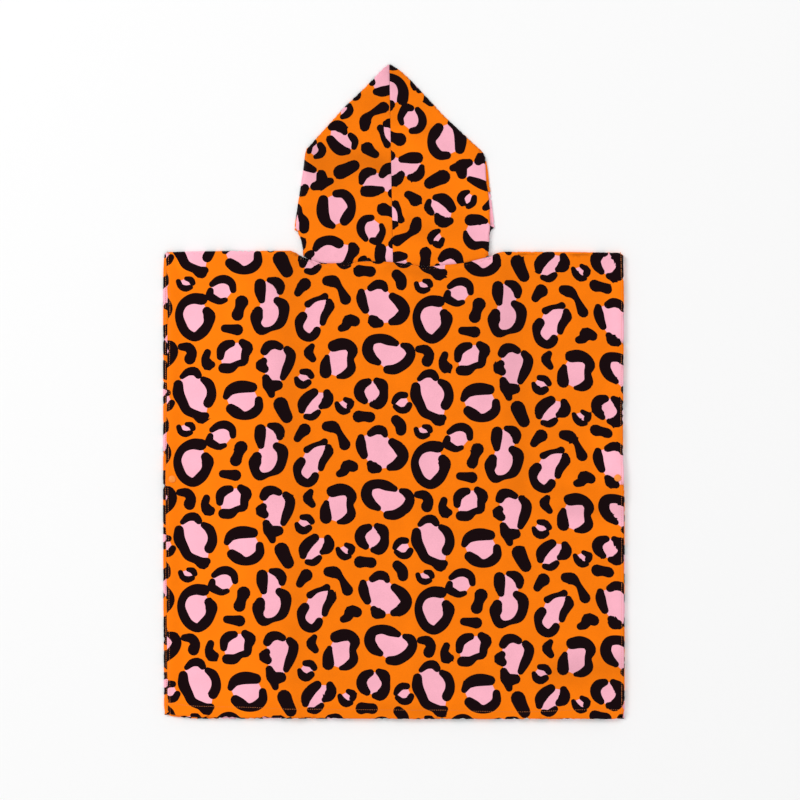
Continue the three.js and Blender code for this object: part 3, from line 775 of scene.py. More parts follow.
# %% The shoulder fold
def fold_radius(x):
    """Half the height of the shoulder fold, which is as round as the layers stand high."""
    sides = side_distance(x, SHOULDER, "back")
    return back_height(x, read(SHOULDER_LINE, "x", "y", x), sides) / 2


def side_distance(x, y, layer):
    """How far a place is from the nearer side edge of its layer."""
    left = LEFT + read(SIDE_EDGES, "y", f"{layer}_left", y)
    right = RIGHT - read(SIDE_EDGES, "y", f"{layer}_right", y)
    return np.minimum(x - left, right - x)


def crease_line(x):
    """Where the shoulder fold starts to turn, on the back layer."""
    return read(SHOULDER_LINE, "x", "y", x) - fold_radius(x)


def unfold(x, t):
    """For a place on the flat cloth: its y in the plan, its turn round the fold and the fold's radius."""
    radius = fold_radius(x)
    crease = crease_line(x)
    over = t - crease
    turn = np.clip(over / radius, 0, math.pi)
    past = np.maximum(over - math.pi * radius, 0)
    y = np.minimum(t, crease) + radius * np.sin(turn) - past
    return y, turn, radius


print("the fold's radius at the middle is", round(float(fold_radius(np.zeros(1))[0]), 2), "mm")

# %% The edges of the flat body
EDGE_PROBE = 6  # the fold is read this far in from the side


def body_edges(t):
    """The left and right edges of the flat cloth at each place along it."""
    edges = []
    for side, farthest, inward in (("left", LEFT, 1), ("right", RIGHT, -1)):
        y, turn, _ = unfold(np.full_like(t, farthest + EDGE_PROBE * inward), t)
        back = read(SIDE_EDGES, "y", f"back_{side}", y)
        front = read(SIDE_EDGES, "y", f"front_{side}", y)
        edges.append(farthest + inward * mix(back, front, turn / math.pi))
    return edges


def body_ends(x):
    """The two ends of the flat cloth: the back's bottom edge and the front's."""
    high = 2 * crease_line(x) + math.pi * fold_radius(x) - read(BOTTOM_LINE, "x", "front", x)
    return read(BOTTOM_LINE, "x", "back", x), high


flat_low, flat_high = (float(end[0]) for end in body_ends(np.zeros(1)))
print("the flat body is", round(flat_high - flat_low), "mm long, without the cloth in its hems")


# %% The printed face on the plan
def body_frame(x, t):
    """A place on the printed face, its outward direction and the direction of t."""
    y, turn, radius = unfold(x, t)
    on_back = turn <= 0
    on_front = turn >= math.pi
    from_bottom = y - read(BOTTOM_LINE, "x", "back", x)
    back_z = back_height(x, y, side_distance(x, y, "back"), from_bottom)
    front_z = FRONT_SEAT * popper_seat(x, y)
    z = np.where(on_back, back_z, np.where(on_front, front_z, radius * (1 + np.cos(turn))))
    zero = np.zeros_like(x)
    place = np.stack([x, y, z], axis=1)
    outward = np.stack([zero, np.sin(turn), np.cos(turn)], axis=1)
    onward = np.stack([zero, np.cos(turn), -np.sin(turn)], axis=1)
    return place, outward, onward


# %% Round the edges and under
HEM_WIDENS = (SHOULDER + 10, SHOULDER + 60)  # past the fold, from the back's width to the front's


def side_hem(t):
    return mix(SIDE_HEM, FRONT_SIDE_HEM, smooth(*HEM_WIDENS, t))


WRAP = math.pi * RIM  # the cloth's way round a rolled edge
TINY = 1e-9  # keeps a distance of nothing from dividing by zero


def held_place(x, t):
    """The nearest place of the flat cloth that lies inside the rolled edges."""
    held_x, held_t = x, t
    for _ in range(2):
        left, right = body_edges(held_t)
        held_x = np.clip(x, left + RIM, right - RIM)
        low, high = body_ends(held_x)
        held_t = np.clip(t, low + RIM, high - RIM)
    return held_x, held_t


def past_edge(x, t):
    """Where a place lies once its hem is turned in, and its way past the edge: across, along, in all."""
    held_x, held_t = held_place(x, t)
    away_x = x - held_x
    away_t = t - held_t
    away = np.maximum(np.hypot(away_x, away_t), TINY)
    turned_in = np.maximum(away - WRAP, 0) / away
    return held_x - away_x * turned_in, held_t - away_t * turned_in, away_x, away_t, away


def body_outer(x, t):
    """Where the printed face of a place on the flat cloth lies, round the edges and under them."""
    near_x, near_t, away_x, away_t, away = past_edge(x, t)
    place, outward, onward = body_frame(near_x, near_t)
    heading = away_x[:, None] * np.array([1.0, 0, 0]) + away_t[:, None] * onward
    heading /= away[:, None]
    turn = np.minimum(away / RIM, math.pi)[:, None]
    return place + RIM * (heading * np.sin(turn) - outward * (1 - np.cos(turn)))


def body_inner(x, t):
    """Where the inner face lies: one cloth in, or two over a hem."""
    place, outward, _ = body_frame(x, t)
    left, right = body_edges(t)
    low, high = body_ends(x)
    hem = np.maximum(
        turned_hem(np.minimum(x - left, right - x), side_hem(t)),
        turned_hem(np.minimum(t - low, high - t), BOTTOM_HEM),
    )
    return place - outward * (CLOTH * (1 + hem))[:, None]


print("the cloth's way round a rolled edge is", round(WRAP, 2), "mm")

# %% The flat outline of the body
BOTTOM_TUCK = BOTTOM_HEM - RIM  # how far the hem runs back under itself, past the roll
TUCK_GAP = 0.3  # the bottom hem stops this far from the side hem
SLIT = 0.1  # at a corner all rolls end in one place, and this keeps their ends apart on the flat
CORNERS = [(0, 0), (1, 0), (1, 1), (0, 1)]  # 0 is left or the back's end, 1 right or the front's
OUT = (-1, 1)  # the way out of the cloth, at a low end and at a high one
CORNER_POINTS = 7
BORDER_STEP = 9


def corner_middle(side, end):
    """The middle of a corner's roll: the rim's radius in from both edges."""
    x = np.array([(LEFT, RIGHT)[side]])
    for _ in range(3):
        t = body_ends(x)[end] - RIM * OUT[end]
        x = body_edges(t)[side] - RIM * OUT[side]
    return float(x[0]), float(t[0])


def spaced(start, end, step):
    return np.linspace(start, end, int(abs(end - start) / step) + 2)


def body_outline():
    """The flat outline: round at the corners, with a strip past each edge that turns in as its hem."""
    middles = [corner_middle(*corner) for corner in CORNERS]
    points = []
    for i, (side, end) in enumerate(CORNERS):
        x0, t0 = middles[i]
        x1, t1 = middles[(i + 1) % 4]
        for angle in np.radians(np.linspace(180 + 90 * i, 270 + 90 * i, CORNER_POINTS)):
            points.append((x0 + WRAP * math.cos(angle), t0 + WRAP * math.sin(angle)))
        if i % 2 == 0:
            inset = (side_hem(t0) - RIM + TUCK_GAP) * np.sign(x1 - x0)
            x = spaced(x0 + inset, x1 - inset, BORDER_STEP)
            t = body_ends(x)[end] + OUT[end] * (WRAP - RIM)
            points.append((x[0], t[0]))
            points += zip(x, t + OUT[end] * BOTTOM_TUCK)
            points.append((x[-1], t[-1]))
        else:
            t = spaced(t0, t1, BORDER_STEP)
            points += zip(body_edges(t)[side] + OUT[side] * (WRAP - 2 * RIM + side_hem(t)), t)
    return np.array(points)


body_border = body_outline()
print("the flat border of the body has", len(body_border), "points")


def body_tucked(places):
    """Where the places of the flat border lie once the hems are turned in."""
    near_x, near_t, away_x, away_t, away = past_edge(places[:, 0], places[:, 1])
    low, high = body_ends(near_x)
    bend = np.abs(away_t) / np.maximum(np.abs(away_x) + np.abs(away_t), TINY) * math.pi
    for roll_end, inward in ((low + RIM, 1), (high - RIM, -1)):
        at_end = (np.abs(near_t - roll_end) < SLIT / 2) & (away > RIM)
        near_t = np.where(at_end, roll_end + inward * SLIT * np.cos(bend), near_t)
        near_x = np.where(at_end, near_x + np.sign(away_x) * SLIT * np.sin(bend), near_x)
    return np.stack([near_x, near_t], axis=1)


# %% The neck hole
NECK_POINTS = 45
NECK_SIDE_PARTS = 9


def neck_hole():
    """The hole's flat outline: the back's neckline, the front's past the fold, and the ways between."""
    x = np.linspace(NECK_LEFT, NECK_RIGHT, NECK_POINTS)
    back = np.stack([x, neck_back(x) - GAP / 2], axis=1)
    crease = crease_line(x)
    front_t = 2 * crease + math.pi * fold_radius(x) - (neck_front(x) - GAP / 2)
    front = np.stack([x, front_t], axis=1)
    sides = []
    for i in (-1, 0):
        part = np.linspace(0, 1, NECK_SIDE_PARTS)[1:-1]
        part = part if i == -1 else part[::-1]
        sides.append(np.stack([np.full_like(part, x[i]), mix(back[i, 1], front[i, 1], part)], axis=1))
    return np.concatenate([back, sides[0], front[::-1], sides[1]])


neck_border = neck_hole()
print("the neck hole has", len(neck_border), "points")

# %% Grids and rows of points
MARGIN = 12  # rows and grids keep this far from what they must not cross


def rows_along_edges(distances, step, sides=True):
    """Points along the edges of the flat body, at distances in from the edge."""
    found = []
    xs = np.arange(LEFT + MARGIN, RIGHT - MARGIN, step)
    lows, highs = body_ends(xs)
    ts = np.arange(float(lows.mean()) + MARGIN, float(highs.mean()) - MARGIN, step)
    lefts, rights = body_edges(ts)
    for distance in distances:
        found.append(np.stack([xs, lows + distance], axis=1))
        found.append(np.stack([xs, highs - distance], axis=1))
        if sides:
            found.append(np.stack([lefts + distance, ts], axis=1))
            found.append(np.stack([rights - distance, ts], axis=1))
    return np.concatenate(found)


def grid(x0, x1, y0, y1, step):
    """Points in rows, every second row shifted by half a step."""
    xs = np.arange(x0, x1, step)
    ys = np.arange(y0, y1, step)
    shift = (np.arange(len(ys)) % 2) * step / 2
    return np.stack([(xs[None, :] + shift[:, None]).ravel(), np.repeat(ys, len(xs))], axis=1)


def fold_rows(offsets, step):
    """Rows along the shoulder fold, each part of the way round it and some millimetres on."""
    xs = np.arange(LEFT + MARGIN, RIGHT - MARGIN, step)
    start = crease_line(xs)
    length = math.pi * fold_radius(xs)
    rows = [np.stack([xs, start + length * part + beyond], axis=1) for part, beyond in offsets]
    return np.concatenate(rows)


def within(points, inset):
    """The points that lie inside the flat body by more than the inset."""
    left, right = body_edges(points[:, 1])
    low, high = body_ends(points[:, 0])
    inside = np.minimum(points[:, 0] - left, right - points[:, 0])
    inside = np.minimum(inside, np.minimum(points[:, 1] - low, high - points[:, 1]))
    return points[inside > inset]


print("a 9 mm grid over the whole poncho has", len(grid(LEFT, RIGHT, BOTTOM, TOP, 9.0)), "points")

# %% [markdown]
# ## Materials
# The cloth is cotton velour towelling: a dense, short, sheared pile that takes ink well and looks
# matt, with a soft sheen at a low angle. Its back is plain white terry. The sewing thread is spun
# polyester in a peach that hides on the orange. The poppers are moulded acetal, a glossy plastic.
# Paler and darker bands of light and shade are painted into the pile's colour, as a number on each
# point of the mesh, and not made by a light. The pile could be grown as hair, but it has millions of
# tufts, so a fine bump stands for them.

# %% Colour and node helpers
def linear(hex_colour):
    """An sRGB hex colour as the linear values that Blender works with."""
    values = [int(hex_colour[i : i + 2], 16) / 255 for i in (1, 3, 5)]
    return [v / 12.92 if v <= 0.04045 else ((v + 0.055) / 1.055) ** 2.4 for v in values] + [1.0]


def node(tree, kind, settings=None, inputs=None, links=None):
    """Adds a node, with its settings, its input values, and links from other nodes' outputs."""
    made = tree.nodes.new(kind)
    for key, value in (settings or {}).items():
        setattr(made, key, value)
    for key, value in (inputs or {}).items():
        made.inputs[key].default_value = value
    for key, source in (links or {}).items():
        tree.links.new(source, made.inputs[key])
    return made


def noise(tree, place, size, detail, **inputs):
    """Noise with blobs of about a size in millimetres."""
    inputs = {"Scale": 1 / (size * MM), "Detail": detail, **inputs}
    return node(tree, "ShaderNodeTexNoise", None, inputs, {"Vector": place}).outputs["Fac"]


def multiply(tree, one, other):
    """The product of a link and a number, or of two links."""
    both = {0: one, 1: other}
    inputs = {key: value for key, value in both.items() if isinstance(value, float)}
    links = {key: value for key, value in both.items() if key not in inputs}
    return node(tree, "ShaderNodeMath", {"operation": "MULTIPLY"}, inputs, links).outputs[0]


def add_bump(tree, shader, height, strength, depth, invert=False):
    """Lets the light see a relief of a depth in millimetres that the mesh doesn't have."""
    inputs = {"Strength": strength, "Distance": depth * MM}
    bump = node(tree, "ShaderNodeBump", {"invert": invert}, inputs, {"Height": height})
    tree.links.new(bump.outputs["Normal"], shader.inputs["Normal"])


def new_material(name):
    """A material with its node tree and its shader."""
    material = bpy.data.materials.new(name)
    material.use_nodes = True
    tree = material.node_tree
    shader = next(n for n in tree.nodes if n.type == "BSDF_PRINCIPLED")
    return material, tree, shader


print("middle grey as linear values:", [round(value, 3) for value in linear("#808080")])

# %% Printed velour towelling
INK_COLOURS = {ORANGE: "#fd7c02", PINK: "#fdb4c6", BLACK: "#110003"}
PILE_TUFT = 1.3  # millimetres: drawn about twice as coarse as the pile, so that it shows at all
BLOTCH = 26.0  # millimetres: slow unevenness of the dye

printed_velour, tree, shader = new_material("printed_cotton_velour")
place = node(tree, "ShaderNodeTexCoord").outputs["Object"]
ink_value = node(tree, "ShaderNodeAttribute", {"attribute_name": "ink"}).outputs["Fac"]
ramp = node(tree, "ShaderNodeValToRGB", links={"Fac": multiply(tree, ink_value, 0.5)})
ramp.color_ramp.interpolation = "CONSTANT"
ramp.color_ramp.elements[0].color = linear(INK_COLOURS[ORANGE])
ramp.color_ramp.elements[1].position = 0.75
ramp.color_ramp.elements[1].color = linear(INK_COLOURS[BLACK])
ramp.color_ramp.elements.new(0.25).color = linear(INK_COLOURS[PINK])
tufts = noise(tree, place, PILE_TUFT, 4.0, Roughness=0.65)
blotches = noise(tree, place, BLOTCH, 3.0)
shades = []
for source, dark, pale in ((tufts, 0.93, 1.05), (blotches, 0.97, 1.03)):
    reach = {"From Min": 0.3, "From Max": 0.7, "To Min": dark, "To Max": pale}
    shade = node(tree, "ShaderNodeMapRange", inputs=reach, links={"Value": source})
    shades.append(shade.outputs["Result"])
# Painted light and shade: the colour is scaled by one plus the painted shading number on each point
painted_shading_factor = node(
    tree, "ShaderNodeMath", {"operation": "ADD"}, {1: 1.0},
    {0: node(tree, "ShaderNodeAttribute", {"attribute_name": "painted_shading"}).outputs["Fac"]},
)
all_shades = multiply(tree, multiply(tree, *shades), painted_shading_factor.outputs[0])
dyed = node(
    tree, "ShaderNodeVectorMath", {"operation": "SCALE"},
    links={0: ramp.outputs["Color"], "Scale": all_shades},
)
tree.links.new(dyed.outputs[0], shader.inputs["Base Color"])
add_bump(tree, shader, tufts, 0.35, 0.4)
shader.inputs["Roughness"].default_value = 0.9
shader.inputs["Specular IOR Level"].default_value = 0.1
shader.inputs["Sheen Weight"].default_value = 0.04
shader.inputs["Sheen Roughness"].default_value = 0.5
print(printed_velour.name, "has", len(tree.nodes), "nodes")

# %% [markdown]
# ## White terry
# On the inside the towelling is left unsheared, with its loops standing. Little of it is ever seen, so
# the loops aren't modelled: the cells of a Voronoi pattern are about as large, and serve as a bump.

# %% Plain terry on the inside
LOOP = 1.8  # millimetres from loop to loop
terry, tree, shader = new_material("white_terry_loops")
place = node(tree, "ShaderNodeTexCoord").outputs["Object"]
loops = node(
    tree, "ShaderNodeTexVoronoi", {"feature": "SMOOTH_F1"},
    {"Scale": 1 / (LOOP * MM), "Randomness": 0.8}, {"Vector": place},
)
add_bump(tree, shader, loops.outputs["Distance"], 0.7, 0.8, invert=True)
shader.inputs["Base Color"].default_value = linear("#f4efe6")
shader.inputs["Roughness"].default_value = 0.95
shader.inputs["Specular IOR Level"].default_value = 0.15
shader.inputs["Sheen Weight"].default_value = 0.2
print(terry.name, "has", len(tree.nodes), "nodes")

# %% [markdown]
# ## Thread and plastic
# Spun thread is matt and twisted. A popper is glossy, and its mould leaves the gloss a little uneven.
# One number can't show that, so noise sets its roughness, and the thread gets a fine bump.

# %% Sewing thread
THREAD_TWIST = 0.35  # millimetres from turn to turn
thread, tree, shader = new_material("peach_polyester_thread")
place = node(tree, "ShaderNodeTexCoord").outputs["Object"]
add_bump(tree, shader, noise(tree, place, THREAD_TWIST, 2.0), 0.5, 0.1)
shader.inputs["Base Color"].default_value = linear("#dd7c38")
shader.inputs["Roughness"].default_value = 0.6
shader.inputs["Sheen Weight"].default_value = 0.1
print(thread.name, "has", len(tree.nodes), "nodes")

# %% Popper plastic
POPPER_GRAIN = 0.6  # millimetres: the mould's faint unevenness
popper_plastic, tree, shader = new_material("moulded_acetal")
place = node(tree, "ShaderNodeTexCoord").outputs["Object"]
grain = noise(tree, place, POPPER_GRAIN, 2.0)
satin = node(tree, "ShaderNodeMapRange", inputs={"To Min": 0.26, "To Max": 0.38}, links={"Value": grain})
tree.links.new(satin.outputs["Result"], shader.inputs["Roughness"])
shader.inputs["Base Color"].default_value = linear("#ff922e")
shader.inputs["Subsurface Weight"].default_value = 0.1
shader.inputs["Subsurface Radius"].default_value = (0.002, 0.001, 0.0005)
print("materials:", [material.name for material in (printed_velour, terry, thread, popper_plastic)])

# %% [markdown]
# ## Cutting the body
# The cloth was cut and laid a little out of true. The print sinks towards the right side, sways to the
# left across the middle and is gathered in at the bottom, so the chart's places are moved the same way.
# The pull has no simple rule, so it is a sum of a few smooth shifts, each with its own place and reach.

# %% Pull the print out of true
RIGHT_SINK = {"y": [-223, -181, -124, -54, -12], "sink": [10, 14, 15.5, 18, 20.5]}
SINK_FROM = 140.0
SINK_FULL = 299.0
SINK_POWER = 1.5
SWAY, SWAY_Y, SWAY_SPREAD = -4.0, -115.0, 55.0
SWAY_MORE, SWAY_X = 0.8, 170.0  # the sway is this much stronger along one line
NECK_DRAW, NECK_DRAW_Y, NECK_DRAW_SPREAD = 2.2, 180, 26  # the hood's seam draws the print to the right
NECK_DRAW_FADE = (130, 190)  # from the middle
GATHER = 0.016
GATHER_FROM, GATHER_FULL = -290.0, -440.0
SAG, SAG_X, SAG_SPREAD = 3.2, -125.0, 65.0  # the print sags at the bottom, left of the middle
SAG_FROM, SAG_FULL = -360.0, -430.0


def pulled(places):
    """Moves places of the true print to where the laid cloth has them."""
    x, y = places.T
    rightward = np.maximum(x - SINK_FROM, 0) / (SINK_FULL - SINK_FROM)
    sink = read(RIGHT_SINK, "y", "sink", y) * rightward**SINK_POWER
    sway = SWAY * bell(y, SWAY_Y, SWAY_SPREAD)
    sway *= 1 + SWAY_MORE * bell(x, SWAY_X, SWAY_SPREAD)
    near_neck = 1 - smooth(*NECK_DRAW_FADE, np.abs(x))
    sway += NECK_DRAW * bell(y, NECK_DRAW_Y, NECK_DRAW_SPREAD) * near_neck
    gather = GATHER * x * (1 - smooth(GATHER_FULL, GATHER_FROM, y))
    sag = SAG * bell(x, SAG_X, SAG_SPREAD) * (1 - smooth(SAG_FULL, SAG_FROM, y))
    return np.stack([x + sway - gather, y - sink - sag], axis=1)


at_popper = np.array([POPPERS["right"]])
moved = (pulled(at_popper) - at_popper)[0].round(1).tolist()
print("at the right popper the print is moved by", moved, "mm")

# %% Make the body
HEM_REACH = 20.0  # the flat cloth reaches this far past its edges, hems and all
GRID_END, CLOTH_END = 870, 900.0  # past the front's bottom edge, without its hem and with it
body_low = np.array([LEFT - HEM_REACH, BOTTOM - HEM_REACH])
body_high = np.array([RIGHT + HEM_REACH, CLOTH_END])
body_shapes = printed_shapes(pulled, body_low, body_high)
rim_rows = [RIM - WRAP * part for part in (0.2, 0.4, 0.6, 0.8)]
rim_rows += [RIM, SIDE_HEM - 0.5, SIDE_HEM + 1, 9]
fold_parts = [(part, 0) for part in np.linspace(0, 1, 8)]
fold_parts += [(0, -3), (0, -8), (0, -15), (1, 3), (1, 8)]
along_neck = np.linspace(NECK_LEFT - 6, NECK_RIGHT + 6, 56)
at_puckers = np.linspace(-133, -98, 20)
neck_x = np.concatenate([along_neck, at_puckers])
neck_depths = (1.2, 2.4, NECK_STITCH, 5.0, 7.5, 11, 15)
neck_rows = np.concatenate([np.stack([neck_x, neck_back(neck_x) - depth], axis=1) for depth in neck_depths])
hem_rows = rows_along_edges([BOTTOM_HEM - 3, BOTTOM_HEM - 1.5, BOTTOM_HEM], 12)
body_fine = np.concatenate([
    within(grid(LEFT, RIGHT, BOTTOM, GRID_END, 9.0), MARGIN),
    rows_along_edges(rim_rows, 9.0),
    hem_rows,
    rows_along_edges([RIM - WRAP - part * BOTTOM_TUCK for part in (0, 0.35, 0.7)], 10.0, sides=False),
    fold_rows(fold_parts, 8.0),
    neck_rows,
])
body_coarse = np.concatenate([
    within(grid(LEFT, RIGHT, BOTTOM, GRID_END, 24.0), MARGIN),
    rows_along_edges([SIDE_HEM + HEM_STEP, FRONT_SIDE_HEM + HEM_STEP], 22.0),
    within(rows_along_edges([BOTTOM_HEM + HEM_STEP], 22.0, sides=False), 8),
    fold_rows([(0, -10), (0, 0), (0.33, 0), (0.66, 0), (1, 0), (1, 10)], 20.0),
])


def body_outer_place(x, t):
    return body_outer(x, t), face_normals(body_outer, x, t)


def body_inner_place(x, t):
    return body_inner(x, t), face_normals(body_inner, x, t, -1.0)


body = cloth_shell(
    "body_cloth", body_border, [neck_border], body_shapes, body_fine, body_coarse,
    body_outer_place, body_inner_place, body_tucked,
)

# %% [markdown]
# At the front's lower left corner the two hems meet, and the side hem's end is folded in over the other.
# It shows past the back layer as a speck of print, so the faces there take the black ink.

# %% Ink the folded corner
CORNER_RIGHT, CORNER_TOP, CORNER_LOW, CORNER_HIGH = -313.0, -450.0, 2.5, 4.6
PRINTED, PLAIN = 0, 1  # the two materials of a shell
folded_in = 0
for face in body.data.polygons:
    x, y, z = face.center / MM
    in_corner = x < CORNER_RIGHT and y < CORNER_TOP and CORNER_LOW < z < CORNER_HIGH
    if face.material_index == PLAIN and in_corner:
        face.material_index = PRINTED
        body.data.attributes["ink"].data[face.index].value = BLACK
        folded_in += 1
print(folded_in, "faces of the folded corner are inked")

# %% [markdown]
# ## The hood
# Each half is a square-cornered piece, sewn to its twin down the back and along the crown. Laid flat
# it folds along a slope on both sides of the peak, so its front lies under its back. On the flat
# cloth w runs out from the middle, over the fold and back under; the front flap peeks out past the
# fold along the side. The halves were cut the opposite way up, so their prints are turned opposite.
# Each half is laid from the flat as the body is, with functions of its own for its bends.

# %% Bends of a half of the hood
FLAP_ROUND = CLOTH / 2
SHELF = CLOTH + 0.1
SEAM_GROOVE, SEAM_SPREAD = 0.9, 1.4
ROUND_SHARE = 0.4  # near the peak the fold takes up no more than this share of the width
TURN_GAP = 0.3 * CLOTH  # between the two inner faces where they turn
TINY_WAY = 1e-6  # keeps a bend of no length from dividing by zero
HoodMarks = namedtuple("HoodMarks", "seam fold flap height across down bend shelf shelf_end under end")


def hood_marks(side, y):
    """For a half: its seam, back fold and flap, and where the flat cloth reaches each bend."""
    sign = -1 if side == "left" else 1
    seam = sign * read(HOOD_SEAM, "y", "x", y) + GAP / 2
    fold = read(HOOD_SIDES[side], "y", "fold", y)
    flap = read(HOOD_SIDES[side], "y", "flap", y)
    height = back_height(sign * fold, y)
    across = np.minimum(height / 2, ROUND_SHARE * (fold - seam))
    down = height - SHELF
    bend = fold - across
    shelf = bend + math.pi / 4 * (across + down)
    shelf_end = shelf + np.maximum(flap - FLAP_ROUND - fold, 0)
    under = shelf_end + math.pi * FLAP_ROUND
    end = under + flap - FLAP_ROUND - seam
    return HoodMarks(seam, fold, flap, height, across, down, bend, shelf, shelf_end, under, end)


middle_marks = hood_marks("left", np.array([300.0]))
print("300 mm up, a half's cloth is", round(float(middle_marks.end[0] - middle_marks.seam[0])), "mm wide")


# %% The printed face of a half
def hood_outer(side, w, y):
    """Where the printed face lies: over the back, round the fold, out to the flap and back under."""
    sign = -1 if side == "left" else 1
    seam, fold, flap, height, across, down, bend, shelf, shelf_end, under, _ = hood_marks(side, y)
    groove = SEAM_GROOVE * bell(w, seam, SEAM_SPREAD)
    back_z = back_height(sign * w, y) - groove
    turn = np.clip((w - bend) / np.maximum(shelf - bend, TINY_WAY), 0, 1) * math.pi / 2
    roll = np.clip((w - shelf_end) / FLAP_ROUND, 0, math.pi)
    x = np.where(w <= bend, w, bend + across * np.sin(turn))
    z = np.where(w <= bend, back_z, SHELF + down * np.cos(turn))
    on_shelf = w > shelf
    shelf_x = fold + (w - shelf)
    shelf_part = np.clip((w - shelf) / np.maximum(shelf_end - shelf, TINY_WAY), 0, 1)
    x = np.where(on_shelf, shelf_x, x)
    z = np.where(on_shelf, mix(SHELF, CLOTH, shelf_part), z)
    rolled = w > shelf_end
    x = np.where(rolled, flap - FLAP_ROUND + FLAP_ROUND * np.sin(roll), x)
    z = np.where(rolled, FLAP_ROUND * (1 + np.cos(roll)), z)
    x = np.where(w > under, flap - FLAP_ROUND - (w - under), x)
    z = np.where(w > under, 0.0, z)
    return np.stack([sign * x, y, z], axis=1)


print("the seam's groove is", SEAM_GROOVE, "mm deep")


# %% The inner face of a half
def from_face(x, y):
    """How far a place of the lower layer is from the face opening."""
    across = np.clip(np.abs(x) / FACE_CORNER, 0, 1)
    below = np.maximum(mix(FACE_LOW_Y, FACE_HEM_Y, across) - y, 0)
    return np.where(y >= FACE_HEM_Y, y - FACE_HEM_Y, below)


def hood_inner(side, w, y):
    """Where the inner face lies. It skips the flap, which is folded shut."""
    sign = -1 if side == "left" else 1
    seam, fold, flap, height, across, down, bend, shelf, shelf_end, under, _ = hood_marks(side, y)
    back_z = back_height(sign * w, y) - CLOTH
    inside = fold - across - TURN_GAP
    part = np.clip((w - bend) / np.maximum(under - bend, TINY_WAY), 0, 1)
    lower_x = np.minimum(flap - FLAP_ROUND - (w - under), inside)
    hem = turned_hem(from_face(lower_x, y), FACE_HEM)
    x = np.where(w <= bend, np.minimum(w, inside), inside)
    z = np.where(w <= bend, back_z, mix(height - CLOTH, CLOTH, part))
    x = np.where(w > under, lower_x, x)
    z = np.where(w > under, CLOTH * (1 + hem), z)
    return np.stack([sign * x, y, z], axis=1)


print("the face opening's hem is", FACE_HEM, "mm deep")

# %% The flat outline of a half
HOOD_FOOT = 191.2  # where the side fold meets the neck
SEAM_BACK_Y, SEAM_FRONT_Y = 183.0, 172.0  # where the centre seam meets each neckline, roughly
UNDER_FROM_Y = 171.0  # below this the under layer runs straight down
HOOD_STEP = 8
ABOVE_HEM = 0.01  # keeps the face's upper edge clear of the end of its lower edge


def hood_outline(side):
    """The flat outline: the back's neckline, the front's, the face opening, the top and the seam."""
    sign = -1 if side == "left" else 1

    def marks_at(y):
        return HoodMarks(*(float(mark[0]) for mark in hood_marks(side, np.array([float(y)]))))

    def under_w(x, y):
        marks = marks_at(y)
        return marks.under + marks.flap - FLAP_ROUND - x

    def above_neck(line, x):
        return float(line(np.array([sign * x]))[0]) + GAP / 2

    foot = marks_at(HOOD_FOOT)
    seam_x = marks_at(SEAM_BACK_Y).seam
    points = [(x, above_neck(neck_back, x)) for x in np.linspace(seam_x, foot.bend, 24)]
    points += [(w, HOOD_FOOT) for w in np.linspace(foot.bend, foot.under, 9)[1:]]
    for x in np.linspace(foot.flap - 4, marks_at(SEAM_FRONT_Y).seam, 22):
        y = above_neck(neck_front, x)
        points.append((under_w(x, max(y, UNDER_FROM_Y)), y))
    points.append((marks_at(FACE_LOW_Y).end, FACE_LOW_Y))
    for part in np.linspace(0, 1, 14)[1:]:
        y = mix(FACE_LOW_Y, FACE_HEM_Y, part)
        points.append((under_w(mix(marks_at(y).seam, FACE_CORNER, part), y), y))
    y = FACE_HEM_Y + ABOVE_HEM
    for part in np.linspace(0, 1, 14)[1:]:
        points.append((under_w(mix(FACE_CORNER, marks_at(FACE_HEM_Y).seam, part), y), y))
    points += [(marks_at(y).end, y) for y in np.arange(FACE_HEM_Y + HOOD_STEP, TOP - 3, HOOD_STEP)]
    top = marks_at(TOP)
    points += [(top.end, TOP), (mix(top.seam, top.end, 0.5), TOP), (top.seam, TOP)]
    lowest = above_neck(neck_back, seam_x) + 3
    points += [(marks_at(y).seam, y) for y in np.arange(TOP - HOOD_STEP, lowest, -HOOD_STEP)]
    return np.array(points)


hood_borders = {side: hood_outline(side) for side in ("left", "right")}
print("points of the flat halves:", {side: len(border) for side, border in hood_borders.items()})

# %% The prints of the halves
# Where the print lies on the flat cloth, a last nudge, and how far it drifts over which heights
LEFT_PRINT_W, LEFT_PRINT_Y = 298.5, 467.4
RIGHT_PRINT_W, RIGHT_PRINT_Y = 293.9, 478.2
NUDGE_W, NUDGE_Y = 0.7, 0.6
LEFT_DRIFT_W, LEFT_DRIFT_Y = 3.8, 2.6
RIGHT_DRIFT_W, RIGHT_DRIFT_Y = 7.5, 3.5


def left_print(places):
    """Turns places in the print into places on the left half, which was cut with the print on its side."""
    w = places[:, 1] + LEFT_PRINT_W
    y = places[:, 0] + LEFT_PRINT_Y
    drift_w = LEFT_DRIFT_W * smooth(290, 390, y)
    drift_y = LEFT_DRIFT_Y * smooth(230, 390, y)
    return np.stack([w - NUDGE_W - drift_w, y + NUDGE_Y - drift_y], axis=1)


def right_print(places):
    """The same for the right half, which was cut the other way up and is pulled towards the neck."""
    w = places[:, 1] + RIGHT_PRINT_W
    y = RIGHT_PRINT_Y - places[:, 0]
    drift_w = RIGHT_DRIFT_W * (1 - smooth(215, 300, y))
    drift_y = RIGHT_DRIFT_Y * (1 - smooth(225, 330, y))
    return np.stack([w + NUDGE_W - drift_w, y - NUDGE_Y + drift_y], axis=1)


HOOD_PRINT = {"left": left_print, "right": right_print}
print("the print's corner falls on the left half at", left_print(np.zeros((1, 2)))[0].round(1).tolist())

# %% Grids and rows of a half
HOOD_GRID_BOX = (-8, 290, 168, TOP)  # it holds the flat cloth of either half


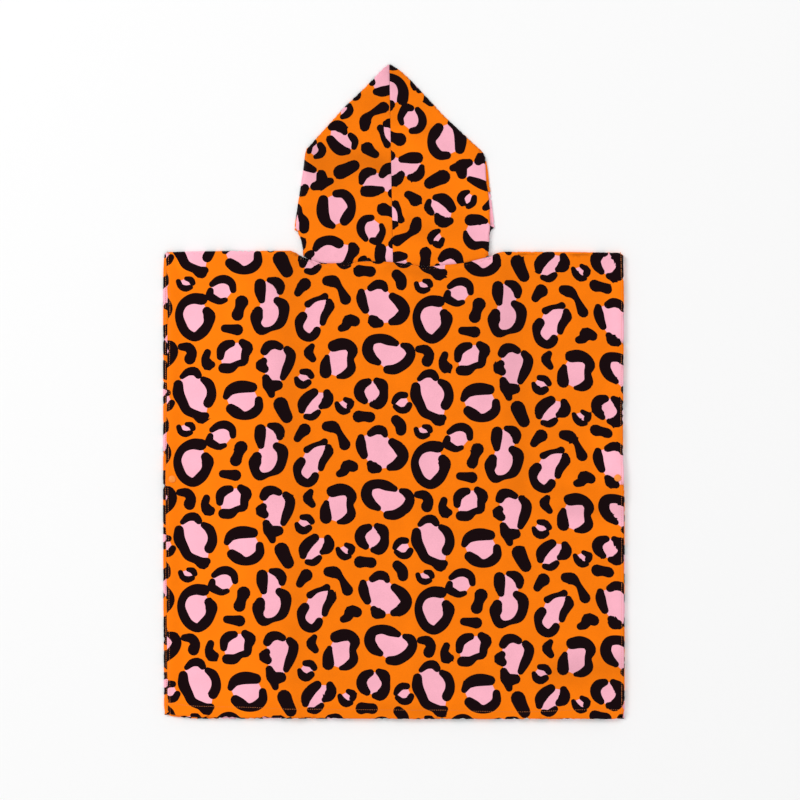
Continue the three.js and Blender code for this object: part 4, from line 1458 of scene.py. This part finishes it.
def hood_grid(side, step):
    points = grid(*HOOD_GRID_BOX, step)
    marks = hood_marks(side, points[:, 1])
    inside = (points[:, 0] > marks.seam + step * 0.4) & (points[:, 0] < marks.end - step * 0.4)
    return points[inside & (points[:, 1] < TOP - step * 0.3)]


def hood_rows(side, step):
    """Rows of points along the bends, the centre seam and the neck, where the form is finest."""
    ys = np.arange(192, TOP - 4, step)
    marks = hood_marks(side, ys)
    rows = [marks.seam + d for d in (0.8, 1.6, 2.6, 4.0)]
    rows += [mix(marks.bend, marks.shelf, part) for part in (-0.6, 0, 0.25, 0.5, 0.75, 1)]
    rows += [marks.shelf_end]
    rows += [mix(marks.shelf_end, marks.under, part) for part in (0.25, 0.5, 0.75, 1)]
    found = [np.stack([row, ys], axis=1) for row in rows]
    sign = -1 if side == "left" else 1
    xs = np.linspace(4, 124, 42)
    found += [np.stack([xs, neck_back(sign * xs) + d], axis=1) for d in (1.0, 2.0, 3.2, 5.0)]
    return np.concatenate(found)


print("points in a half's grid:", {side: len(hood_grid(side, 6.0)) for side in hood_borders})

# %% Make the halves of the hood
def make_hood(side):
    """A shell for one half. The left one is mirrored, so its normals and faces are turned about."""
    flip = -1.0 if side == "left" else 1.0
    outline = hood_borders[side]
    shapes = printed_shapes(HOOD_PRINT[side], outline.min(axis=0) - 2, outline.max(axis=0) + 2)
    fine = np.concatenate([hood_grid(side, 6.0), hood_rows(side, 6.0)])

    def outer(w, y):
        return hood_outer(side, w, y)

    def inner(w, y):
        return hood_inner(side, w, y)

    return cloth_shell(
        f"hood_{side}_cloth", outline, [], shapes, fine, hood_grid(side, 12.0),
        lambda w, y: (outer(w, y), face_normals(outer, w, y, flip)),
        lambda w, y: (inner(w, y), face_normals(inner, w, y, -flip)),
        tucked=lambda places: places,
        mirrored=side == "left",
    )


hood_left = make_hood("left")
hood_right = make_hood("right")

# %% [markdown]
# The front flaps peek out past the folds. What of the print lies there depends on cloth that is hidden,
# so those few faces take the ink that the photo shows.

# %% Ink the flaps
FLAP_START = 0.3  # how far past the fold a flap's own ink starts
FLAP_INKS = [
    ("right", 231, 281, PINK),
    ("right", 281, 329, ORANGE),
    ("left", 222, 243, ORANGE),
    ("left", 243, 262, BLACK),
]
for side, low, high, ink in FLAP_INKS:
    mesh = {"left": hood_left, "right": hood_right}[side].data
    middles = np.array([face.center for face in mesh.polygons]) / MM
    past = np.abs(middles[:, 0]) > read(HOOD_SIDES[side], "y", "fold", middles[:, 1]) + FLAP_START
    inked = np.flatnonzero(past & (middles[:, 1] > low) & (middles[:, 1] < high))
    for index in inked:
        mesh.attributes["ink"].data[index].value = ink
    print(len(inked), "faces of the", side, "flap are inked")

# %% [markdown]
# ## The poppers
# A 10 mm press stud for cloth: a shallow domed cap with a post, and a ring snapped on the post from
# the other side. One half has the nub and the other the socket, and here they are fastened. All of it
# is round, so a half is a profile turned about its axis. A Screw modifier turns profiles too, but here
# the ends close on the axis with no doubled points.

# %% Sizes of the poppers, and a lathe
POST = 1.6  # radii, in millimetres
RING = 4.3
CAP = 5.0
STUD_RING = FRONT_SEAT + CLOTH + GAP  # heights, from the table up
RING_TOP = STUD_RING + 0.9
SOCKET_RING = RING_TOP + GAP
SOCKET_TOP = SOCKET_RING + 2.2
CAP_FOOT = BACK_SEAT + GAP


def revolve(name, profile, middle, material, turns=56):
    """A turned piece on an upright axis, from radii and heights that start and end on the axis."""
    rim = profile[1:-1]
    points = [(middle[0], middle[1], profile[0][1])]
    for step in range(turns):
        angle = math.tau * step / turns
        points += [(middle[0] + r * math.cos(angle), middle[1] + r * math.sin(angle), z) for r, z in rim]
    points.append((middle[0], middle[1], profile[-1][1]))
    last = len(points) - 1
    count = len(rim)
    faces = []
    for step in range(turns):
        a = 1 + step * count
        b = 1 + (step + 1) % turns * count
        faces.append((0, b, a))
        faces += [(a + i, b + i, b + i + 1, a + i + 1) for i in range(count - 1)]
        faces.append((last, a + count - 1, b + count - 1))
    made = mesh_object(name, points, faces, [material])
    made.data.shade_smooth()
    return made


# %% Profiles of the popper halves
stud_profile = [
    (0, 0.0), (3.5, 0.0), (4.3, 0.1), (4.8, 0.4), (CAP, 0.8), (4.9, 1.1), (4.6, 1.2), (POST, 1.2),
    (POST, STUD_RING), (RING - 0.2, STUD_RING), (RING, STUD_RING + 0.2), (RING, RING_TOP - 0.2),
    (RING - 0.2, RING_TOP), (1.9, RING_TOP), (2.1, RING_TOP + 0.7), (2.0, RING_TOP + 1.1),
    (1.5, RING_TOP + 1.4), (0, RING_TOP + 1.4),
]
socket_profile = [
    (0, RING_TOP + 1.7), (2.4, RING_TOP + 1.7), (2.4, SOCKET_RING), (RING - 0.2, SOCKET_RING),
    (RING, SOCKET_RING + 0.2), (RING, SOCKET_TOP - 0.2), (RING - 0.2, SOCKET_TOP), (POST, SOCKET_TOP),
    (POST, CAP_FOOT), (4.7, CAP_FOOT), (4.93, CAP_FOOT + 0.12), (CAP, CAP_FOOT + 0.35),
    (4.9, CAP_FOOT + 0.62), (4.6, CAP_FOOT + 0.85), (4.1, CAP_FOOT + 1.0), (3.9, CAP_FOOT + 0.98),
    (3.6, CAP_FOOT + 1.04), (2.6, CAP_FOOT + 1.3), (1.3, CAP_FOOT + 1.46), (0, CAP_FOOT + 1.5),
]
print("the poppers' profiles have", len(stud_profile), "and", len(socket_profile), "places")

# %% Turn the popper halves
popper_pieces = {}
for side, middle in POPPERS.items():
    for half, profile in (("stud", stud_profile), ("socket", socket_profile)):
        name = f"popper_{side}_{half}"
        popper_pieces[name] = revolve(f"{name}_fine", profile, middle, popper_plastic)
print(len(popper_pieces), "popper halves")

# %% [markdown]
# ## The stitching
# A lockstitch shows as a row of short dashes with their ends pulled into the cloth. Geometry Nodes
# set one bent stitch after another along a path, at an even pitch. The paths run on the cloth's
# surface, so they are worked out with the same functions as the cloth. A painted row would stay flat,
# and these stitches catch the light and sink in as sewn ones do.

# %% Paths of the stitching
STITCH_PITCH = 3.1
STITCH_LENGTH = 2.5
THREAD_RADIUS = 0.32
STITCH_SINK = 0.45  # a stitch's ends are pulled this far into the cloth
SIDE_STITCH = 3.5  # how far each row runs from its edge
BOTTOM_STITCH = {"x": [-273, -203, -146, 65, 121, 178, 262], "up": [16, 15, 13, 13, 11.2, 10.5, 13.5]}
FACE_STITCH = 13.5
ABOVE = -0.12  # the thread's middle lies this far up from the cloth: drawn tight, it sinks into the pile
NECK_ABOVE = -0.2  # the pull of the hood sinks the neck's row deeper
LONG_PATH, NECK_PATH, FACE_PATH = 330, 140, 80  # points along each path


def on_body(x, t, above=ABOVE):
    return body_outer(x, t) + face_normals(body_outer, x, t) * above


def stitch_paths():
    """Where each row runs, and whether its stitches sink down or, on an underside, up."""
    paths = {}
    x = np.linspace(LEFT + 9, RIGHT - 4, LONG_PATH)
    low, high = body_ends(x)
    up = read(BOTTOM_STITCH, "x", "up", x)
    paths["back_bottom_hem"] = on_body(x, low + up), 1
    paths["front_bottom_hem"] = on_body(x, high - up), -1
    low, high = (float(end[0]) for end in body_ends(np.array([LEFT + 8])))
    layers = (("back", low + 3, SHOULDER, 1), ("front", SHOULDER + 3, high - 3, -1))
    for layer, start, end, sinks in layers:
        t = np.linspace(start, end, LONG_PATH)
        left, right = body_edges(t)
        paths[f"{layer}_left_hem"] = on_body(left + SIDE_STITCH, t), sinks
        paths[f"{layer}_right_hem"] = on_body(right - SIDE_STITCH, t), sinks
    paths["front_left_hem_inside"] = on_body(left + 2 * RIM - WRAP - SIDE_STITCH, t), 1
    x = np.linspace(NECK_LEFT - 1, NECK_RIGHT + 1, NECK_PATH)
    paths["neck_seam"] = on_body(x, neck_back(x) - NECK_STITCH, NECK_ABOVE), 1
    for side, sign in (("left", -1), ("right", 1)):
        x = np.linspace(2, FACE_CORNER - 1, FACE_PATH)
        y = np.full_like(x, FACE_HEM_Y + FACE_STITCH)
        paths[f"face_hem_{side}"] = np.stack([sign * x, y, np.full_like(x, -ABOVE)], axis=1), -1
    return paths


rows_to_sew = stitch_paths()
print("rows of stitches:", ", ".join(rows_to_sew))

# %% The stitching's node tree
def stitch_tree():
    tree = bpy.data.node_groups.new("row_of_stitches", "GeometryNodeTree")
    tree.interface.new_socket("Geometry", in_out="INPUT", socket_type="NodeSocketGeometry")
    for name in ("Pitch", "Stitch Length", "Thread Radius", "Sink"):
        tree.interface.new_socket(name, in_out="INPUT", socket_type="NodeSocketFloat")
    tree.interface.new_socket("Geometry", in_out="OUTPUT", socket_type="NodeSocketGeometry")
    given = tree.nodes.new("NodeGroupInput")
    result = tree.nodes.new("NodeGroupOutput")
    path = node(tree, "GeometryNodeMeshToCurve", links={"Mesh": given.outputs["Geometry"]})
    spaced = node(
        tree, "GeometryNodeResampleCurve", {"mode": "LENGTH"},
        links={"Curve": path.outputs["Curve"], "Length": given.outputs["Pitch"]},
    )
    half = multiply(tree, given.outputs["Stitch Length"], 0.5)
    back = multiply(tree, half, -1.0)
    sunk = multiply(tree, given.outputs["Sink"], -1.0)
    start = node(tree, "ShaderNodeCombineXYZ", links={"X": back, "Z": sunk})
    end = node(tree, "ShaderNodeCombineXYZ", links={"X": half, "Z": sunk})
    arc = node(
        tree, "GeometryNodeCurveArc", {"mode": "POINTS"}, {"Resolution": 6, "Middle": (0, 0, 0)},
        {"Start": start.outputs[0], "End": end.outputs[0]},
    )
    ring = node(
        tree, "GeometryNodeCurvePrimitiveCircle", inputs={"Resolution": 6},
        links={"Radius": given.outputs["Thread Radius"]},
    )
    stitch = node(
        tree, "GeometryNodeCurveToMesh", inputs={"Fill Caps": True},
        links={"Curve": arc.outputs["Curve"], "Profile Curve": ring.outputs["Curve"]},
    )
    along = node(
        tree, "FunctionNodeAlignRotationToVector", {"axis": "X", "pivot_axis": "Z"},
        links={"Vector": node(tree, "GeometryNodeInputTangent").outputs["Tangent"]},
    )
    rows = node(
        tree, "GeometryNodeInstanceOnPoints",
        links={
            "Points": spaced.outputs["Curve"],
            "Instance": stitch.outputs["Mesh"],
            "Rotation": along.outputs["Rotation"],
        },
    )
    real = node(tree, "GeometryNodeRealizeInstances", links={"Geometry": rows.outputs["Instances"]})
    coloured = node(
        tree, "GeometryNodeSetMaterial", inputs={"Material": thread},
        links={"Geometry": real.outputs["Geometry"]},
    )
    tree.links.new(coloured.outputs["Geometry"], result.inputs["Geometry"])
    return tree


stitches = stitch_tree()
print("the tree of a row has", len(stitches.nodes), "nodes")

# %% Sew the rows
def sew(name, points, sinks):
    """One row as a plain mesh: the path is a chain of edges, which the tree turns into stitches."""
    row = mesh_object(name, points, [], edges=[(i, i + 1) for i in range(len(points) - 1)])
    modifier = row.modifiers.new("stitches", "NODES")
    modifier.node_group = stitches
    sizes = {"Pitch": STITCH_PITCH, "Stitch Length": STITCH_LENGTH, "Thread Radius": THREAD_RADIUS}
    sizes["Sink"] = sinks * STITCH_SINK
    for item in stitches.interface.items_tree:
        if item.in_out == "INPUT" and item.name in sizes:
            modifier[item.identifier] = sizes[item.name] * MM
    graph = bpy.context.evaluated_depsgraph_get()
    sewn = bpy.data.meshes.new_from_object(row.evaluated_get(graph))
    row.modifiers.remove(modifier)
    row.data = sewn
    sewn.shade_smooth()
    return row


sewn_rows = {}
for name, (points, sinks) in rows_to_sew.items():
    sewn_rows[name] = sew(f"stitches_{name}", points, sinks)
print("stitch triangles:", {name: len(row.data.polygons) for name, row in sewn_rows.items()})

# %% [markdown]
# ## Floor and light
# A pale, plain floor and a large soft light nearly overhead, a little to one side, so that the soft
# folds show without hard shadows. A picture of a real room would light it too, but would also tint
# it. The colours are shown as they are, with no film curve.

# %% Floor
bpy.context.scene.view_settings.view_transform = "Standard"

floor_paint, _, shader = new_material("matt_white_table")
shader.inputs["Base Color"].default_value = linear("#fcfcfc")
shader.inputs["Roughness"].default_value = 0.9
HALF_FLOOR = 3000.0
FLOOR_Z = -0.3  # just below the thread of the lowest stitches
floor_corners = [(x * HALF_FLOOR, y * HALF_FLOOR, FLOOR_Z) for x, y in ((-1, -1), (1, -1), (1, 1), (-1, 1))]
floor = mesh_object("floor", floor_corners, [(0, 1, 2, 3)], [floor_paint])

print("the floor is", 2 * HALF_FLOOR * MM, "m wide")

# %% Soft light
world = bpy.data.worlds.new("soft_room")
world.use_nodes = True
background = world.node_tree.nodes["Background"]
background.inputs["Color"].default_value = (1, 1, 1, 1)
background.inputs["Strength"].default_value = 0.66
bpy.context.scene.world = world


def soft_light(name, location, size, power):
    """A square light that faces the middle of the cloth, in metres and watts."""
    light = bpy.data.lights.new(name, "AREA")
    light.size = size
    light.energy = power
    made = bpy.data.objects.new(name, light)
    made.location = location
    made.rotation_euler = (-Vector(location)).to_track_quat("-Z", "Y").to_euler()
    bpy.context.scene.collection.objects.link(made)
    return made


lights = [
    soft_light("window_light", (-6.0, 4.5, 6.0), 3.6, 400),
    soft_light("fill_light", (3.5, -3.5, 7.5), 4.5, 70),
]
print("lights:", {light.name: light.data.energy for light in lights})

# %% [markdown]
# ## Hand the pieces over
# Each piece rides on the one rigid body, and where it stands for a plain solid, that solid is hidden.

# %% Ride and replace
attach(body, "root")
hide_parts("body")
for side, piece in (("left", hood_left), ("right", hood_right)):
    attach(piece, "root")
    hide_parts(f"hood_{side}")
for name, piece in popper_pieces.items():
    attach(piece, "root")
    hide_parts(name)
for row in sewn_rows.values():
    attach(row, "root")

riders = [body, hood_left, hood_right, *popper_pieces.values(), *sewn_rows.values()]
print(len(riders), "pieces ride on the poncho's one rigid body")
